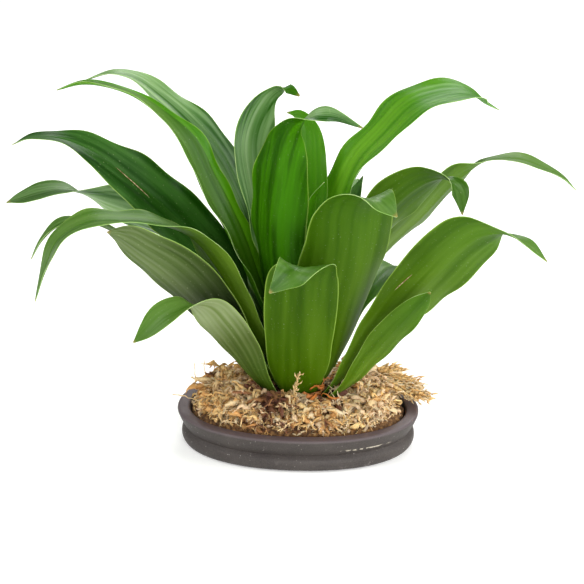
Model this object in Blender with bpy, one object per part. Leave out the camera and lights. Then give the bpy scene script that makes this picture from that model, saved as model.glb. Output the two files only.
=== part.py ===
"""Potted dracaena: strap leaves round a short stem, in a shallow oval clay tray topped with dried moss.

Units are metres and +Z is up. The tray's flat underside stands on the ground at the origin, and its
long side lies along X. Lengths in the constants and tables are millimetres, and `solid` turns them
into metres.
"""
import math
import random

import bmesh
import bpy
from mathutils import Matrix, Vector, noise
from mathutils.bvhtree import BVHTree

MM = 0.001
GAP = 0.3

# Tray
RIM_LENGTH = 160.0
RIM_DEPTH = 118.0
TRAY_HEIGHT = 23.5
OVAL_POWER = 2.15
TRAY_SIDES = 56
# Each row of the outer wall: how far inside the rim's edge, and the height.
OUTER_WALL = ((9.0, 0.0), (5.4, 0.7), (3.6, 2.6), (2.7, 5.6), (3.2, 8.4), (4.8, 10.0), (5.8, 11.1),
              (4.6, 12.6), (2.4, 16.4), (0.7, 20.2), (0.0, 22.2), (0.6, 23.2), (1.8, TRAY_HEIGHT))
INNER_WALL = ((7.3, TRAY_HEIGHT), (8.2, 22.8), (9.4, 18.0), (11.5, 9.0), (17.0, 5.6))

# Stem
STEM_LOW = 8.0
STEM_TOP = 72.0
STEM_RADIUS_LOW = 9.5
STEM_RADIUS_TOP = 3.0
CROWN_X = 2.0
CROWN_Y = 0.0
PLANT_TURN = 3.0
PLANT_SIDEWAYS = -1.2
PLANT_LIFT = 1.5

# Soil and moss
SOIL_TOP = 18.0
MOSS_EDGE_HEIGHT = 22.6
MOSS_CROWN_HEIGHT = 40.0
MOSS_INSET = 9.9
MOSS_HOLE = 12.4
MOSS_SPOKES = 66
MOSS_RINGS = 11
MOSS_LUMP = 1.7
LEAF_CLEARANCE = 1.0
STRANDS = 64
TUFT_STRANDS = 16
MOST_TRIES = 1500
TUFT_ROOT = (62.0, 2.0)
STRAND_THICKNESS = 1.7

# Leaves
STATIONS = 15
COLUMNS = (-1.0, -0.52, 0.0, 0.52, 1.0)
BLADE_THICKNESS = 0.8
BASE_THICKNESS = 1.0
LEAF_SEAT = 0.45
EDGE_WAVE = 1.1
BASE_CLASP = 1.0
MOST_CUP = 1.7
LEAST_CUP = 0.35
KEEL = 0.05
# A leaf folded along its midrib is keeled more than the rest.
FOLDS = {"leaf_upper_left_folded": 0.20}

# Each leaf: compass angle at the stem, height where it joins the stem, then the points of its
# midrib, each with x, y, z, the blade's width there and how far the blade is rolled, in degrees.
LEAVES = {
    "leaf_left_low_small": (-140, 18, "grey", (
        (-25, -24, 51, 18, 10), (-36, -38, 76, 25, 30), (-47, -52, 98, 28, 35), (-57, -62, 113, 24, 30),
        (-68, -68, 117, 20, 0), (-82, -72, 112, 18, -20), (-92, -74, 103, 12, -20), (-101, -73, 94, 1, -20))),
    "leaf_right_low_small": (-42, 18, "mid", (
        (36, -26, 50, 14, -15), (45, -36, 68, 18, -35), (56, -48, 88, 20, -45), (67, -58, 106, 18, -50),
        (76, -66, 120, 12, -50), (81, -70, 128, 1, -50))),
    "leaf_back_right": (48, 18, "mid", (
        (34, 36, 74, 28, 0), (51, 59, 89, 26, 0), (64, 82, 92, 22, 0),
        (76, 102, 78, 15, 0), (83, 116, 60, 1, 0))),
    "leaf_back_low_left": (120, 18, "grey", (
        (-18, 48, 78, 36, 0), (-30, 76, 98, 40, 0), (-42, 102, 106, 34, 0),
        (-52, 120, 96, 20, 0), (-58, 133, 78, 1, 0))),
    "leaf_front_small": (-92, 23, "mid", (
        (1, -30, 55, 38, 0), (1, -48, 83, 43, 0), (2, -66, 114, 46, 0), (3, -80, 137, 43, 0),
        (5, -94, 151, 33, 0), (-3, -107, 154, 24, -12), (-17, -113, 142, 1, -20))),
    "leaf_left_broad_grey": (-165, 23, "grey", (
        (-28, -12, 51, 28, 5), (-43, -22, 79, 34, 25), (-60, -35, 108, 39, 40), (-79, -45, 132, 42, 45),
        (-96, -50, 146, 36, 40), (-108, -50, 154, 26, 40), (-118, -50, 158, 1, 40))),
    "leaf_right_broad": (-15, 23, "mid", (
        (33, -14, 50, 24, -10), (48, -25, 76, 32, -30), (66, -38, 105, 38, -45), (83, -50, 130, 43, -50),
        (98, -59, 151, 46, -50), (112, -67, 164, 37, -45), (124, -73, 167, 14, -28),
        (138, -78, 162, 13, 0), (150, -80, 152, 1, 0))),
    "leaf_back_low_centre": (86, 23, "mid", (
        (6, 44, 86, 36, 0), (8, 74, 112, 42, 0), (9, 104, 119, 38, 0),
        (8, 130, 108, 22, 0), (6, 148, 88, 1, 0))),
    "leaf_front_broad": (-58, 28, "mid", (
        (16, -18, 52, 36, 0), (23, -32, 88, 56, 0), (30, -48, 127, 64, 0), (33, -60, 157, 61, 0),
        (34, -72, 179, 52, 0), (38, -82, 190, 39, 0), (47, -90, 193, 26, 0), (58, -95, 184, 1, 0))),
    "leaf_right_long": (18, 28, "mid", (
        (36, 18, 90, 31, -20), (58, 28, 121, 36, -42), (81, 33, 143, 46, -48),
        (99, 36, 163, 43, -50), (111, 38, 173, 26, -45), (122, 39, 180, 9, -10), (142, 38, 182, 16, 15),
        (161, 37, 176, 14, 15),
        (173, 35, 170, 10, 10), (182, 34, 162, 1, 0))),
    "leaf_left_twisted": (145, 28, "grey", (
        (-36, 24, 80, 34, 0), (-60, 32, 108, 40, 20), (-84, 38, 131, 45, 55),
        (-107, 40, 144, 40, 72), (-125, 40, 150, 30, 65), (-141, 38, 155, 17, 35), (-156, 36, 158.5, 18, -4),
        (-171, 32, 157, 19, -22), (-183, 30, 153.5, 12, -20), (-191, 28, 151.5, 1, -10))),
    "leaf_left_hidden_arch": (-143, 28, "mid", (
        (-43, -13, 82, 26, 10), (-70, -14, 110, 28, 10), (-96, -16, 134, 26, 15),
        (-120, -20, 150, 22, 20), (-137, -24, 157, 20, 10), (-150, -27, 155, 17, 0), (-161, -29, 145, 12, 0),
        (-168, -31, 133, 1, 0))),
    "leaf_left_long_arch": (-128, 32, "mid", (
        (-33, -21, 90, 28, 10), (-50, -28, 126, 31, 15), (-67, -31, 149, 31, 10),
        (-87, -39, 160, 27, 0), (-108, -48, 165, 24, 0), (-129, -52, 165, 27, 0), (-147, -54, 155, 23, 0),
        (-156, -54, 136, 17, 0), (-163, -56, 114, 1, 0))),
    "leaf_right_mid": (-12, 33, "mid", (
        (33, -3, 110, 34, -20), (50, -6, 147, 37, -45), (66, -8, 169, 41, -50),
        (82, -8, 180, 33, -45), (93, -9, 182, 15, -15), (101, -10, 175, 14, 45), (104, -11, 159, 1, 55))),
    "leaf_back_mid": (55, 33, "deep", (
        (17, 38, 106, 34, 0), (22, 64, 136, 38, 0), (25, 90, 147, 34, 0),
        (27, 112, 138, 20, 0), (28, 128, 118, 1, 0))),
    "leaf_back_mid_left": (120, 33, "mid", (
        (-20, 40, 101, 28, 0), (-30, 65, 129, 34, 0), (-38, 90, 141, 32, 0),
        (-43, 110, 133, 20, 0), (-47, 124, 113, 1, 0))),
    "leaf_left_long_dark": (176, 35, "deep", (
        (-37, 9, 93, 32, 0), (-52, 11, 118, 38, -18), (-67, 10, 136, 38, -36),
        (-89, 7, 160, 38, -45), (-111, 6, 179, 33, -45), (-130, 5, 193, 24, -35), (-151, 4, 202, 17, -10),
        (-170, 3, 203, 11, 0), (-182, 3, 198, 1, 0))),
    "leaf_inner_right": (28, 38, "mid", (
        (21, 14, 112, 19, 0), (30, 23, 141, 19, 0), (37, 30, 158, 12, 0),
        (42, 32, 171, 1, 0))),
    "leaf_upper_left_back": (118, 39.5, "deep", (
        (-24, 31, 107, 23, 10), (-39, 46, 149, 28, 20), (-54, 53, 177, 33, 10),
        (-72, 58, 198, 33, 0), (-91, 62, 214.5, 26, 0), (-110, 64, 227.5, 16, 0), (-124, 64, 230, 11, 0),
        (-147, 64, 223, 1, 0))),
    "leaf_upper_left_folded": (172, 43, "bright", (
        (-28, 0, 102, 30, -5), (-46, 1, 144, 32, -18), (-61, 5, 172, 31, -22),
        (-74, 10, 198, 27, -15), (-88, 14, 214, 16, -5), (-105, 18, 226, 11, 0), (-123, 20, 232, 9, 0),
        (-139, 22, 233, 9, 0), (-155, 22, 229, 1, 0))),
    "leaf_upper_right_bright": (20, 43, "bright", (
        (17, 6, 120, 32, 0), (27, 10, 159, 38, 0), (39, 14, 187, 41, 0),
        (54, 18, 203, 43, 5), (72, 22, 221, 41, 8), (91, 26, 227.5, 36, 8), (105, 29, 228, 33, 4),
        (114, 31, 225, 27, 0), (119, 32, 221, 13, 0), (129, 33, 216, 1, 0))),
    "leaf_back_inner": (98, 44, "deep", (
        (-5, 30, 118, 29, 0), (-3, 52, 152, 34, 0), (-5, 76, 170, 30, 0),
        (-7, 98, 170, 18, 0), (-9, 114, 154, 1, 0))),
    "leaf_centre_tall": (-105, 49, "bright", (
        (-13, -18, 108, 38, 0), (-17, -24, 152, 46, 0), (-13, -29, 189, 38, 0),
        (-9, -33, 211, 25, 0), (-4, -38, 223, 13, 12), (6, -42, 230, 10, 60), (20, -46, 233, 9, 85),
        (38, -50, 226, 1, 80))),
    "leaf_back_centre_left": (135, 49, "deep", (
        (-17, 17, 118, 26, 0), (-29, 23, 164, 37, 0), (-33, 29, 194, 39, 0),
        (-27, 33, 213, 29, 0), (-18, 35, 225, 14, 0), (-9, 35, 229, 10, 0), (0, 33, 224, 1, 0))),
    "leaf_back_centre": (60, 49, "mid", (
        (4, 10, 119, 24, 0), (5, 18, 158, 29, 0), (5, 25, 188, 26, 0),
        (4, 31, 203, 17, 0), (0, 33, 211, 8, 0), (-8, 33, 213, 1, 0))),
    "leaf_inner_spear": (-60, 58, "bright", (
        (6, -3, 124, 13, 0), (8, -4, 152, 11, 0), (10, -5, 168, 8, 0), (16, -6, 178, 1, 0))),
    "leaf_inner_spear_back": (160, 58, "bright", (
        (-2, 1, 122, 12, 0), (-4, 2, 150, 10, 0), (-5, 4, 170, 1, 0))),
}

SKINS = {
    "mid": ("leaf_mid_green", (0.050, 0.155, 0.016, 1.0), 0.38),
    "deep": ("leaf_deep_green", (0.022, 0.095, 0.008, 1.0), 0.33),
    "bright": ("leaf_bright_green", (0.085, 0.255, 0.014, 1.0), 0.36),
    "grey": ("leaf_grey_green", (0.110, 0.205, 0.070, 1.0), 0.48),
}
CLAY = ("fired_clay", (0.085, 0.075, 0.073, 1.0), 0.72)
SOIL = ("potting_soil", (0.030, 0.020, 0.014, 1.0), 0.95)
MOSS = ("dried_moss", (0.420, 0.250, 0.110, 1.0), 0.90)
STEM_SKIN = ("stem_skin", (0.150, 0.180, 0.060, 1.0), 0.60)


def clear_scene():
    for thing in list(bpy.data.objects):
        bpy.data.objects.remove(thing, do_unlink=True)


def material(name, color, roughness):
    made = bpy.data.materials.new(name)
    made.use_nodes = True
    surface = made.node_tree.nodes["Principled BSDF"]
    surface.inputs["Base Color"].default_value = color
    surface.inputs["Roughness"].default_value = roughness
    surface.inputs["Metallic"].default_value = 0.0
    made.diffuse_color = color
    return made


def solid(name, points, faces, finish, smooth=True):
    """A mesh object from points in millimetres, its faces turned outward."""
    mesh = bpy.data.meshes.new(name)
    mesh.from_pydata([Vector(p) * MM for p in points], [], faces)
    shape = bmesh.new()
    shape.from_mesh(mesh)
    bmesh.ops.recalc_face_normals(shape, faces=shape.faces)
    if shape.calc_volume(signed=True) < 0:
        bmesh.ops.reverse_faces(shape, faces=shape.faces)
    shape.to_mesh(mesh)
    shape.free()
    for face in mesh.polygons:
        face.use_smooth = smooth
    mesh.materials.append(finish)
    thing = bpy.data.objects.new(name, mesh)
    bpy.context.scene.collection.objects.link(thing)
    return thing


def ring_faces(first, second, count):
    """The quads between two closed rows of points that start at the given indices."""
    return [(first + i, first + (i + 1) % count, second + (i + 1) % count, second + i)
            for i in range(count)]


def oval(inset, height, sides=TRAY_SIDES, half_length=RIM_LENGTH / 2, half_depth=RIM_DEPTH / 2):
    """One row of the tray: a slightly squared oval, inset from the rim's outer edge."""
    row = []
    for i in range(sides):
        turn = 2 * math.pi * i / sides
        c, s = math.cos(turn), math.sin(turn)
        x = (half_length - inset) * math.copysign(abs(c) ** (2 / OVAL_POWER), c)
        y = (half_depth - inset) * math.copysign(abs(s) ** (2 / OVAL_POWER), s)
        row.append((x, y, height))
    return row


def tray():
    """A flat underside, the grooved outer wall, the rounded rim, and the wall and floor inside."""
    walls = OUTER_WALL + INNER_WALL
    points = []
    for inset, height in walls:
        points += oval(inset, height)
    faces = []
    for row in range(len(walls) - 1):
        faces += ring_faces(row * TRAY_SIDES, (row + 1) * TRAY_SIDES, TRAY_SIDES)
    under = len(points)
    points.append((0, 0, OUTER_WALL[0][1]))
    floor = len(points)
    points.append((0, 0, INNER_WALL[-1][1]))
    last = (len(walls) - 1) * TRAY_SIDES
    for i in range(TRAY_SIDES):
        j = (i + 1) % TRAY_SIDES
        faces.append((under, i, j))
        faces.append((floor, last + i, last + j))
    return solid("tray", points, faces, material(*CLAY))


def placed(x, y, z):
    """A point of the plant after the whole plant is turned and set in its tray."""
    c, s = math.cos(math.radians(PLANT_TURN)), math.sin(math.radians(PLANT_TURN))
    return x * c - y * s + PLANT_SIDEWAYS, x * s + y * c, z + PLANT_LIFT


def stem_radius(height):
    part = min(max((height - STEM_LOW) / (STEM_TOP - STEM_LOW), 0.0), 1.0)
    return STEM_RADIUS_LOW + (STEM_RADIUS_TOP - STEM_RADIUS_LOW) * part


def stem(sides=16, rows=9):
    points = []
    for row in range(rows):
        height = STEM_LOW + (STEM_TOP - STEM_LOW) * row / (rows - 1)
        for i in range(sides):
            turn = 2 * math.pi * i / sides
            x = CROWN_X + stem_radius(height) * math.cos(turn)
            y = CROWN_Y + stem_radius(height) * math.sin(turn)
            points.append(placed(x, y, height))
    faces = []
    for row in range(rows - 1):
        faces += ring_faces(row * sides, (row + 1) * sides, sides)
    faces.append(tuple(range(sides)))
    faces.append(tuple((rows - 1) * sides + i for i in range(sides)))
    return solid("stem", points, faces, material(*STEM_SKIN))


def curve_at(rows, part):
    """A smooth curve through the rows, read at a share of its length: a list of the same columns."""
    lengths = [0.0]
    for a, b in zip(rows, rows[1:]):
        lengths.append(lengths[-1] + math.dist(a[:3], b[:3]) ** 0.5)
    where = part * lengths[-1]
    k = 0
    while k < len(rows) - 2 and lengths[k + 1] < where:
        k += 1
    t = (where - lengths[k]) / (lengths[k + 1] - lengths[k])
    before = rows[k - 1] if k else [2 * a - b for a, b in zip(rows[0], rows[1])]
    after = rows[k + 2] if k + 2 < len(rows) else [2 * b - a for a, b in zip(rows[k], rows[k + 1])]
    step = lengths[k + 1] - lengths[k]
    back = lengths[k] - lengths[k - 1] if k else step
    ahead = lengths[k + 2] - lengths[k + 1] if k + 2 < len(rows) else step
    value = []
    for p0, p1, p2, p3 in zip(before, rows[k], rows[k + 1], after):
        m1 = step * ((p1 - p0) / back - (p2 - p0) / (back + step) + (p2 - p1) / step)
        m2 = step * ((p2 - p1) / step - (p3 - p1) / (step + ahead) + (p3 - p2) / ahead)
        value.append((2 * t ** 3 - 3 * t ** 2 + 1) * p1 + (t ** 3 - 2 * t ** 2 + t) * m1
                     + (3 * t ** 2 - 2 * t ** 3) * p2 + (t ** 3 - t ** 2) * m2)
    return value


def even_parts(rows, count):
    """Shares of the curve that put stations at even distances along it."""
    fine = 200
    track = [curve_at(rows, i / fine)[:3] for i in range(fine + 1)]
    run = [0.0]
    for a, b in zip(track, track[1:]):
        run.append(run[-1] + math.dist(a, b))
    parts = []
    k = 0
    for i in range(count):
        goal = run[-1] * i / (count - 1)
        while k < fine - 1 and run[k + 1] < goal:
            k += 1
        parts.append((k + (goal - run[k]) / max(run[k + 1] - run[k], 1e-9)) / fine)
    return parts


def blade_grid(facing, join_height, midrib, keel, draw, stations=STATIONS, columns=COLUMNS):
    """The middle surface of one leaf, as a grid of points, station by station.

    Each cross-section is an arc round the crown's axis, so the leaves nest like cups at their bases
    and flatten as they leave the stem.
    """
    angle = math.radians(facing)
    reach = stem_radius(join_height) + LEAF_SEAT + BASE_THICKNESS / 2
    base_width = BASE_CLASP * reach
    start = (CROWN_X + reach * math.cos(angle), CROWN_Y + reach * math.sin(angle), join_height,
             base_width, 0.0)
    rows = [start] + [tuple(map(float, row)) for row in midrib]
    phase = draw.uniform(0, 2 * math.pi)
    waves = draw.uniform(1.6, 2.6)
    grid = []
    for i, part in enumerate(even_parts(rows, stations)):
        x, y, z, width, roll = curve_at(rows, part)
        share = i / (stations - 1)
        ahead = Vector(curve_at(rows, min(part + 0.01, 1.0))[:3])
        behind = Vector(curve_at(rows, max(part - 0.01, 0.0))[:3])
        along = (ahead - behind).normalized()
        radial = Vector((x - CROWN_X, y - CROWN_Y, 0.0))
        level_side = Vector((-radial.y, radial.x, 0.0)).normalized()
        side = (level_side - along * level_side.dot(along)).normalized()
        side = Matrix.Rotation(math.radians(roll), 3, along) @ side
        upper = along.cross(side)
        width = max(width, 2.0)
        cone = max(radial.length, reach) / max(along.z, 0.4)
        wrap = min(max(width / (cone * (1 + share)), LEAST_CUP), MOST_CUP)
        bend = width / wrap
        free = min(share / 0.4, 1.0)
        row = []
        for u in columns:
            turn = u * wrap / 2
            lift = bend * (1 - math.cos(turn)) + keel * width * abs(u) * free
            wave = EDGE_WAVE * free * u * u * math.sin(phase + u + 2 * math.pi * waves * share)
            wave *= min(width / 30.0, 1.0)
            row.append(Vector((x, y, z)) + side * (bend * math.sin(turn)) + upper * (lift + wave))
        grid.append(row)
    return grid


def blade_shell(grid):
    """Points and faces of a closed thin blade, both faces split into triangles alike."""
    rows, across = len(grid), len(grid[0])

    def normal(i, j):
        along = grid[min(i + 1, rows - 1)][j] - grid[max(i - 1, 0)][j]
        side = grid[i][min(j + 1, across - 1)] - grid[i][max(j - 1, 0)]
        return along.cross(side).normalized()

    upper, lower = [], []
    for i in range(rows):
        share = i / (rows - 1)
        half = (BASE_THICKNESS + (BLADE_THICKNESS - BASE_THICKNESS) * min(share / 0.2, 1.0)) / 2
        for j in range(across):
            upper.append(grid[i][j] + normal(i, j) * half)
            lower.append(grid[i][j] - normal(i, j) * half)
    count = rows * across
    faces = []
    for i in range(rows - 1):
        for j in range(across - 1):
            a, b = i * across + j, i * across + j + 1
            c, d = a + across, b + across
            for three in ((a, b, d), (a, d, c)):
                faces.append(three)
                faces.append(tuple(count + v for v in reversed(three)))
    outline = [j for j in range(across)]
    outline += [i * across + across - 1 for i in range(1, rows)]
    outline += [(rows - 1) * across + j for j in range(across - 2, -1, -1)]
    outline += [i * across for i in range(rows - 2, 0, -1)]
    for a, b in zip(outline, outline[1:] + outline[:1]):
        faces.append((b, a, count + a))
        faces.append((b, count + a, count + b))
    return upper + lower, faces


def leaves():
    draw = random.Random(11)
    finishes = {key: material(*SKINS[key]) for key in SKINS}
    made = []
    for name, (facing, join_height, skin, midrib) in LEAVES.items():
        grid = blade_grid(facing, join_height, midrib, FOLDS.get(name, KEEL), draw)
        points, faces = blade_shell(grid)
        points = [placed(*point) for point in points]
        made.append(solid(name, points, faces, finishes[skin]))
    return made


def tree_of(things):
    """One search tree over the faces of several solids, in millimetres."""
    points, faces = [], []
    for thing in things:
        first = len(points)
        points += [vertex.co / MM for vertex in thing.data.vertices]
        faces += [tuple(first + v for v in face.vertices) for face in thing.data.polygons]
    return BVHTree.FromPolygons(points, faces)


def soil(sides=TRAY_SIDES):
    """The root ball and potting mix: it fills the tray's bowl round a plain hole for the stem."""
    centre = placed(CROWN_X, CROWN_Y, STEM_LOW - GAP)
    (top_inset, _), (middle_inset, middle_height), (floor_inset, floor_height) = INNER_WALL[2:]
    walls = ((floor_inset + 2 * GAP, floor_height + GAP), (middle_inset + 2 * GAP, middle_height),
             (top_inset + 2 * GAP, SOIL_TOP))
    points = []
    for inset, height in walls:
        points += oval(inset, height, sides)
    for height in (SOIL_TOP, centre[2]):
        for i in range(sides):
            turn = 2 * math.pi * i / sides
            radius = STEM_RADIUS_LOW + GAP + 0.1
            points.append((centre[0] + radius * math.cos(turn), centre[1] + radius * math.sin(turn), height))
    faces = []
    for row in range(len(walls) + 1):
        faces += ring_faces(row * sides, (row + 1) * sides, sides)
    low_hole = (len(walls) + 1) * sides
    hole_floor = len(points)
    points.append(centre)
    low = len(points)
    points.append((0, 0, walls[0][1]))
    for i in range(sides):
        j = (i + 1) % sides
        faces.append((hole_floor, low_hole + i, low_hole + j))
        faces.append((low, i, j))
    return solid("soil", points, faces, material(*SOIL), smooth=False)


def moss_height(x, y, inward):
    """The moss heap's height: low at the tray's edge, full near the crown, and lumpy all over."""
    rise = (1 - (1 - inward) ** 2) ** 0.7
    lump = noise.noise(Vector((x, y, 3.0)) * 0.16) + 0.5 * noise.noise(Vector((x, y, 9.0)) * 0.34)
    return MOSS_EDGE_HEIGHT + (MOSS_CROWN_HEIGHT - MOSS_EDGE_HEIGHT) * rise + MOSS_LUMP * 1.6 * lump


def moss_bed(leaf_tree):
    """Points and faces of the moss heap, its top kept under the leaves that lean over it."""
    centre = placed(CROWN_X, CROWN_Y, 0)
    outer = oval(MOSS_INSET, 0.0, MOSS_SPOKES)
    spokes = []
    for x, y, _ in outer:
        turn = math.atan2(y - centre[1], x - centre[0])
        hole = (centre[0] + MOSS_HOLE * math.cos(turn), centre[1] + MOSS_HOLE * math.sin(turn))
        spokes.append(((x, y), hole))
    points = []
    for ring in range(MOSS_RINGS + 1):
        inward = (ring / MOSS_RINGS) ** 0.9
        for (x0, y0), (x1, y1) in spokes:
            x, y = x0 + (x1 - x0) * inward, y0 + (y1 - y0) * inward
            height = moss_height(x, y, inward)
            spread = math.hypot(x - centre[0], y - centre[1]) * 0.09
            for dx in (-1.0, 0.0, 1.0):
                for dy in (-1.0, 0.0, 1.0):
                    start = Vector((x + dx * spread, y + dy * spread, SOIL_TOP))
                    hit = leaf_tree.ray_cast(start, Vector((0, 0, 1)), 60.0)[0]
                    if hit is not None:
                        height = min(height, hit.z - LEAF_CLEARANCE)
            points.append((x, y, max(height, SOIL_TOP + GAP + 0.8)))
    top_rows = MOSS_RINGS + 1
    for x, y, _ in outer:
        points.append((x, y, SOIL_TOP + GAP))
    for _, (x, y) in spokes:
        points.append((x, y, SOIL_TOP + GAP))
    faces = []
    for row in range(top_rows - 1):
        faces += ring_faces(row * MOSS_SPOKES, (row + 1) * MOSS_SPOKES, MOSS_SPOKES)
    low_outer, low_inner = top_rows * MOSS_SPOKES, (top_rows + 1) * MOSS_SPOKES
    faces += ring_faces(0, low_outer, MOSS_SPOKES)
    faces += ring_faces(low_outer, low_inner, MOSS_SPOKES)
    faces += ring_faces((top_rows - 1) * MOSS_SPOKES, low_inner, MOSS_SPOKES)
    return points, faces


def strand_shell(path, thickness):
    """Points and faces of one three-sided strand of moss that tapers to both ends."""
    points = []
    for i, here in enumerate(path):
        along = (path[min(i + 1, len(path) - 1)] - path[max(i - 1, 0)]).normalized()
        side = along.cross(Vector((0.2, 0.1, 1.0))).normalized()
        over = side.cross(along)
        radius = thickness / 2 * (1.0, 1.0, 0.9, 0.7, 0.35)[i]
        for k in range(3):
            turn = 2 * math.pi * k / 3
            points.append(here + side * radius * math.cos(turn) + over * radius * math.sin(turn))
    faces = []
    for row in range(len(path) - 1):
        faces += ring_faces(row * 3, row * 3 + 3, 3)
    faces.append((0, 1, 2))
    faces.append(tuple(range(len(points) - 3, len(points))))
    return points, faces


def strand_path(draw, root, heading, reach, loft, droop):
    """Five points: rooted in the heap, up through its surface and out over it."""
    path = []
    sway = draw.uniform(-0.9, 0.9)
    for i in range(5):
        run = reach * i / 4
        turn = heading + sway * (i / 4) ** 2
        rise = loft * math.sin(math.pi * 0.62 * i / 4) - droop * (i / 4) ** 2
        path.append(root + Vector((run * math.cos(turn), run * math.sin(turn), rise)))
    return path


def moss(leaf_things, tray_thing):
    draw = random.Random(5)
    finish = material(*MOSS)
    leaf_tree = tree_of(leaf_things)
    fixed_tree = tree_of(leaf_things + [tray_thing])
    points, faces = moss_bed(leaf_tree)
    bed = solid("moss", points, faces, finish, smooth=False)
    bed_tree = tree_of([bed])
    centre = placed(CROWN_X, CROWN_Y, 0)
    pile = bpy.data.collections.new("moss_strands")
    bpy.context.scene.collection.children.link(pile)
    made = 0
    for _ in range(MOST_TRIES):
        tuft = made < TUFT_STRANDS
        if made == TUFT_STRANDS + STRANDS:
            break
        if tuft:
            x = TUFT_ROOT[0] + draw.uniform(-9, 4)
            y = TUFT_ROOT[1] + draw.uniform(-15, 15)
            heading = math.atan2(y, 60) + draw.uniform(-0.7, 0.7)
            reach, loft, droop = draw.uniform(15, 27), draw.uniform(7, 16), draw.uniform(2, 10)
        else:
            turn = draw.uniform(0, 2 * math.pi)
            out = math.sqrt(draw.uniform(0.12, 0.95))
            x = centre[0] + out * (RIM_LENGTH / 2 - MOSS_INSET - 3) * math.cos(turn)
            y = centre[1] + out * (RIM_DEPTH / 2 - MOSS_INSET - 3) * math.sin(turn)
            heading = draw.uniform(0, 2 * math.pi)
            reach, loft, droop = draw.uniform(8, 18), draw.uniform(4, 9), draw.uniform(0, 5)
        hit = bed_tree.ray_cast(Vector((x, y, 80)), Vector((0, 0, -1)), 70.0)[0]
        if hit is None:
            continue
        root = Vector((x, y, hit.z - 2.2))
        if root.z < SOIL_TOP + 1.8:
            continue
        path = strand_path(draw, root, heading, reach, loft, droop)
        probe, probe_faces = strand_shell(path, STRAND_THICKNESS + 2.0)
        if fixed_tree.overlap(BVHTree.FromPolygons(probe, probe_faces)):
            continue
        if min(point.z for point in probe) < SOIL_TOP + GAP + 0.4:
            continue
        outside = [p for p in path if abs(p.x) > RIM_LENGTH / 2 - 12 or abs(p.y) > RIM_DEPTH / 2 - 12]
        if any(p.z < TRAY_HEIGHT + 1.6 for p in outside):
            continue
        shell, shell_faces = strand_shell(path, STRAND_THICKNESS)
        strand = solid(f"strand_{made}", shell, shell_faces, finish)
        bpy.context.scene.collection.objects.unlink(strand)
        pile.objects.link(strand)
        made += 1
    join = bed.modifiers.new("join_strands", "BOOLEAN")
    join.operation = "UNION"
    join.operand_type = "COLLECTION"
    join.collection = pile
    join.solver = "MANIFOLD"
    bpy.context.view_layer.update()
    joined = bpy.data.meshes.new_from_object(bed.evaluated_get(bpy.context.evaluated_depsgraph_get()))
    bed.modifiers.clear()
    bed.data = joined
    for strand in list(pile.objects):
        bpy.data.objects.remove(strand, do_unlink=True)
    bpy.data.collections.remove(pile)
    keep_largest_body(bed)
    return bed


def keep_largest_body(thing):
    """Drops loose scraps and sealed pockets that the union leaves."""
    shape = bmesh.new()
    shape.from_mesh(thing.data)
    bmesh.ops.remove_doubles(shape, verts=shape.verts, dist=0.000001)
    bmesh.ops.dissolve_degenerate(shape, edges=shape.edges, dist=0.000001)
    bmesh.ops.triangulate(shape, faces=shape.faces)
    unseen = set(shape.faces)
    bodies = []
    while unseen:
        body, queue = [], [unseen.pop()]
        while queue:
            face = queue.pop()
            body.append(face)
            for edge in face.edges:
                for other in edge.link_faces:
                    if other in unseen:
                        unseen.remove(other)
                        queue.append(other)
        bodies.append(body)
    bodies.sort(key=len)
    for body in bodies[:-1]:
        bmesh.ops.delete(shape, geom=body, context="FACES")
    loose = [vertex for vertex in shape.verts if not vertex.link_faces]
    bmesh.ops.delete(shape, geom=loose, context="VERTS")
    shape.to_mesh(thing.data)
    shape.free()


clear_scene()
tray_thing = tray()
soil()
stem()
leaf_things = leaves()
moss(leaf_things, tray_thing)
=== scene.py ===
# %% [markdown]
# # A potted dracaena
# The plant is a rosette of broad strap leaves round a short hidden stem. It stands in a shallow oval
# tray of grey-brown clay, and shredded dried moss covers the soil. The solids of the part are loaded
# first, as a fixed frame at real size, and every finer piece below is made where its solid stands.
# Lengths in the constants are millimetres, because that is how a plant is measured.

import math
import random

import bpy
import numpy as np
from mathutils import Matrix, Vector, noise
from mathutils.bvhtree import BVHTree


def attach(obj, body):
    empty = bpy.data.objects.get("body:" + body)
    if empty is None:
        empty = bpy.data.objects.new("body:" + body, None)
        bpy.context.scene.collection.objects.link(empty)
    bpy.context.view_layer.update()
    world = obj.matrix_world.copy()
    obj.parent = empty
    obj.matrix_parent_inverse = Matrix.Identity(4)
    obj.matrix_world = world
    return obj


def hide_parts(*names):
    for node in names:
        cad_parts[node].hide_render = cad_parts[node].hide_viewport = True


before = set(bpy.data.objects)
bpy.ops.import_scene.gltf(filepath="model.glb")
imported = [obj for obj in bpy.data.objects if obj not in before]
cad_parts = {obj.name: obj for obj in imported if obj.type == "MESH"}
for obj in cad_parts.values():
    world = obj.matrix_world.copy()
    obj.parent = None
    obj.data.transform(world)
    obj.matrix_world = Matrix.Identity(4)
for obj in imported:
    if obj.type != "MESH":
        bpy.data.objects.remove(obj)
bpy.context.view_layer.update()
MM = 0.001

# %% [markdown]
# ## Colours and nodes
# A listed colour is an sRGB hex value, but a shader works in linear light, so one function turns
# the one into the other. A second small function adds any shader node with its settings and its
# links. Four steps come back in material after material, so each is a function as well: a sum of
# values with weights, a distance from a middle value, a tint that is mixed in where a value is high,
# and a whole finish whose colour and relief come from one noise. They keep each material below as
# short as a recipe.

# %% Colour and node helpers
def linear(text):
    """An sRGB hex colour as linear red, green, blue and alpha."""
    parts = [int(text[i:i + 2], 16) / 255 for i in (1, 3, 5)]
    return [c / 12.92 if c <= 0.04045 else ((c + 0.055) / 1.055) ** 2.4 for c in parts] + [1.0]


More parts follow.
